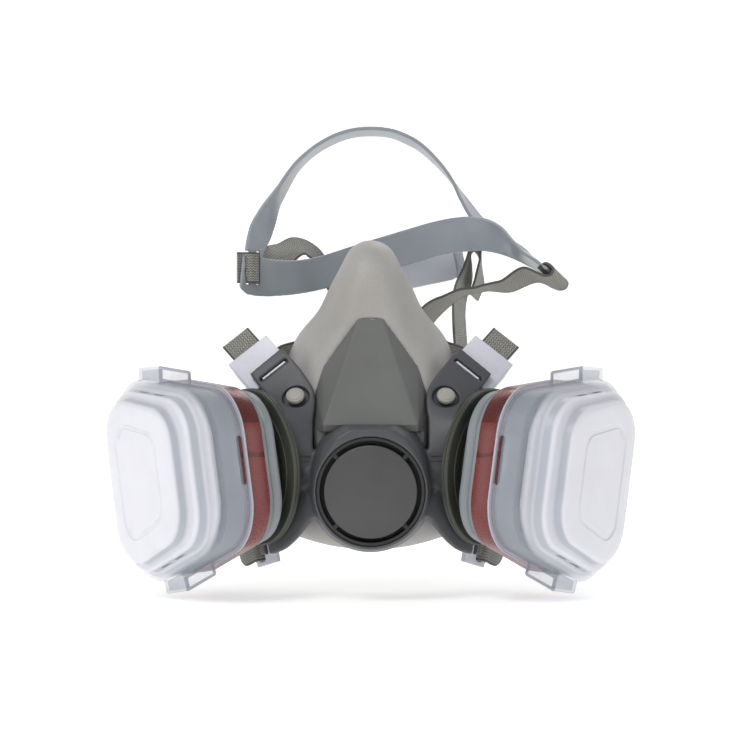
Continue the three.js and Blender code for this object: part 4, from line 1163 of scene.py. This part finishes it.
left_upper = strap("left_upper_webbing", [
    *eye_loop(LEFT_EYE, TWO_SLOT_TURNS),
    (-46.5, 58, 67, 0, 0.5, 0.85),
    (-40.5, 70, 72, 0, 0.85, 0.5),
    (-34, 80, 75, 0, 0.9, 0.43),
    (-27, 90, 72, 0.1, 0.9, 0.4),
    (-21, 98, 63, 0.4, 0.85, 0.3),
    (-13, 99, 52, 0.8, 0.5, 0.3),
    (-11, 86, 42, 0.9, 0.1, 0.3),
    (-15, 60, 36, 0.85, 0.1, 0.5),
    (-24, 33, 29, 0.7, 0.1, 0.7),
    *UPPER_STRAP_END,
], "left_upper_strap")
right_upper = strap("right_upper_webbing", [
    *eye_loop(RIGHT_EYE, ONE_SLOT_TURNS),
    (61, 31, 54.5, 0.15, 0.93, -0.32),
    (50, 39, 53.5, 0, 1, -0.1),
    (41, 43, 52, 0.1, 0.97, -0.2),
    (32, 44, 46.5, 0.25, 0.9, -0.37),
    (25, 38, 40, 0.3, 0.75, -0.6),
    (24, 27, 32.5, 0.35, 0.35, -0.88),
    *mirrored_stops(UPPER_STRAP_END, -1),
], "right_upper_strap")
left_neck = strap("left_neck_webbing", [
    *LOWER_STRAP_END,
    (-60, 3, -55, -0.4, 0, 0.9),
    (-61, 15, -48, -0.6, 0.1, 0.8),
    (-56, 28, -37, -0.75, 0.1, 0.65),
    (-47, 40, -22, -0.8, 0.2, 0.6),
    (-36, 52, -4, -0.8, 0.3, 0.5),
    (-25, 70, 14, -0.8, 0.3, 0.5),
    (-14, 94, 34, -0.7, 0.3, 0.6),
    (-3, 108, 50, -0.6, 0.1, 0.8),
    (4, 109, 57.5, -0.4, 0, 0.9),
    (11.5, 108.8, 62.6, -0.2, 0, 0.98),
], "left_neck_strap")
right_neck = strap("right_neck_webbing", [
    *mirrored_stops(LOWER_STRAP_END),
    (61, 4, -55, 0.45, -0.1, 0.88),
    (62, 16, -46, 0.8, 0.1, 0.6),
    (56, 26, -28, 0.88, 0.4, 0.2),
    (48, 34, -8, 0.67, 0.74, -0.08),
    (43, 42, 10, 0.51, 0.77, -0.39),
    (41.5, 56, 27, 0.48, 0.66, -0.58),
    (41.4, 74, 41, 0.45, 0.6, -0.66),
    (42, 88, 49, 0.4, 0.6, -0.69),
    (43.8, 98.6, 56, 0.33, 0.7, -0.63),
    (46.8, 105, 63.6, 0.28, 0.78, -0.56),
    (48, 109, 71, 0.12, 0.87, -0.47),
    (48.5, 111, 75.6, 0, 0.92, -0.4),
    (50.6, 111.8, 77.8, 0, 0.92, -0.4),
    (52.7, 110.8, 75.6, 0, 0.92, -0.42),
    (53.2, 107.2, 68, 0.1, 0.91, -0.4),
    (52.4, 104, 60, 0.32, 0.92, -0.24),
    (49.6, 103, 52, 0.31, 0.92, -0.22),
], "right_neck_strap")
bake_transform(left_upper)
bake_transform(right_upper)
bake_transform(left_neck)
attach(right_neck, "facepiece")

# ---------------------------------------------------------------- neck clip
# A hook on one end of the neck webbing drops into a loop on the other.

CLIP = Matrix.Translation((30, 0, 68)) @ Matrix.Rotation(math.radians(-12), 4, "Y")


def clip_plate(x0, x1, half_height, y0, y1):
    """A plate with round corners, seen from the front."""
    bm = bmesh.new()
    box(bm, x0, x1, y0, y1, -half_height, half_height)
    upright = [e for e in bm.edges if abs(e.verts[0].co.y - e.verts[1].co.y) > 1]
    bmesh.ops.bevel(bm, geom=upright, offset=4, segments=8, profile=0.5, affect="EDGES",
                    material=-1)
    return bm


clip_loop = clip_plate(-9, 15.5, 8.6, 111, 113.4)
window = bmesh.new()
box(window, -5, 3, 105, 120, -4.6, 4.6)
clip_loop = carved(clip_loop, window)
clip_hook = clip_plate(-16, 11, 9.2, 107.6, 110)
box(clip_hook, -4, 2, 109, 114.6, -3.6, 3.6)
for name, bm, body in (("neck_clip_loop", clip_loop, "facepiece"),
                       ("neck_clip_hook", clip_hook, "neck_clip_hook")):
    bmesh.ops.transform(bm, matrix=CLIP, verts=bm.verts)
    piece(name + "_moulding", moulded(bm, 0.28, 3), buckle_plastic, body,
          [name], 60)

low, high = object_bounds()
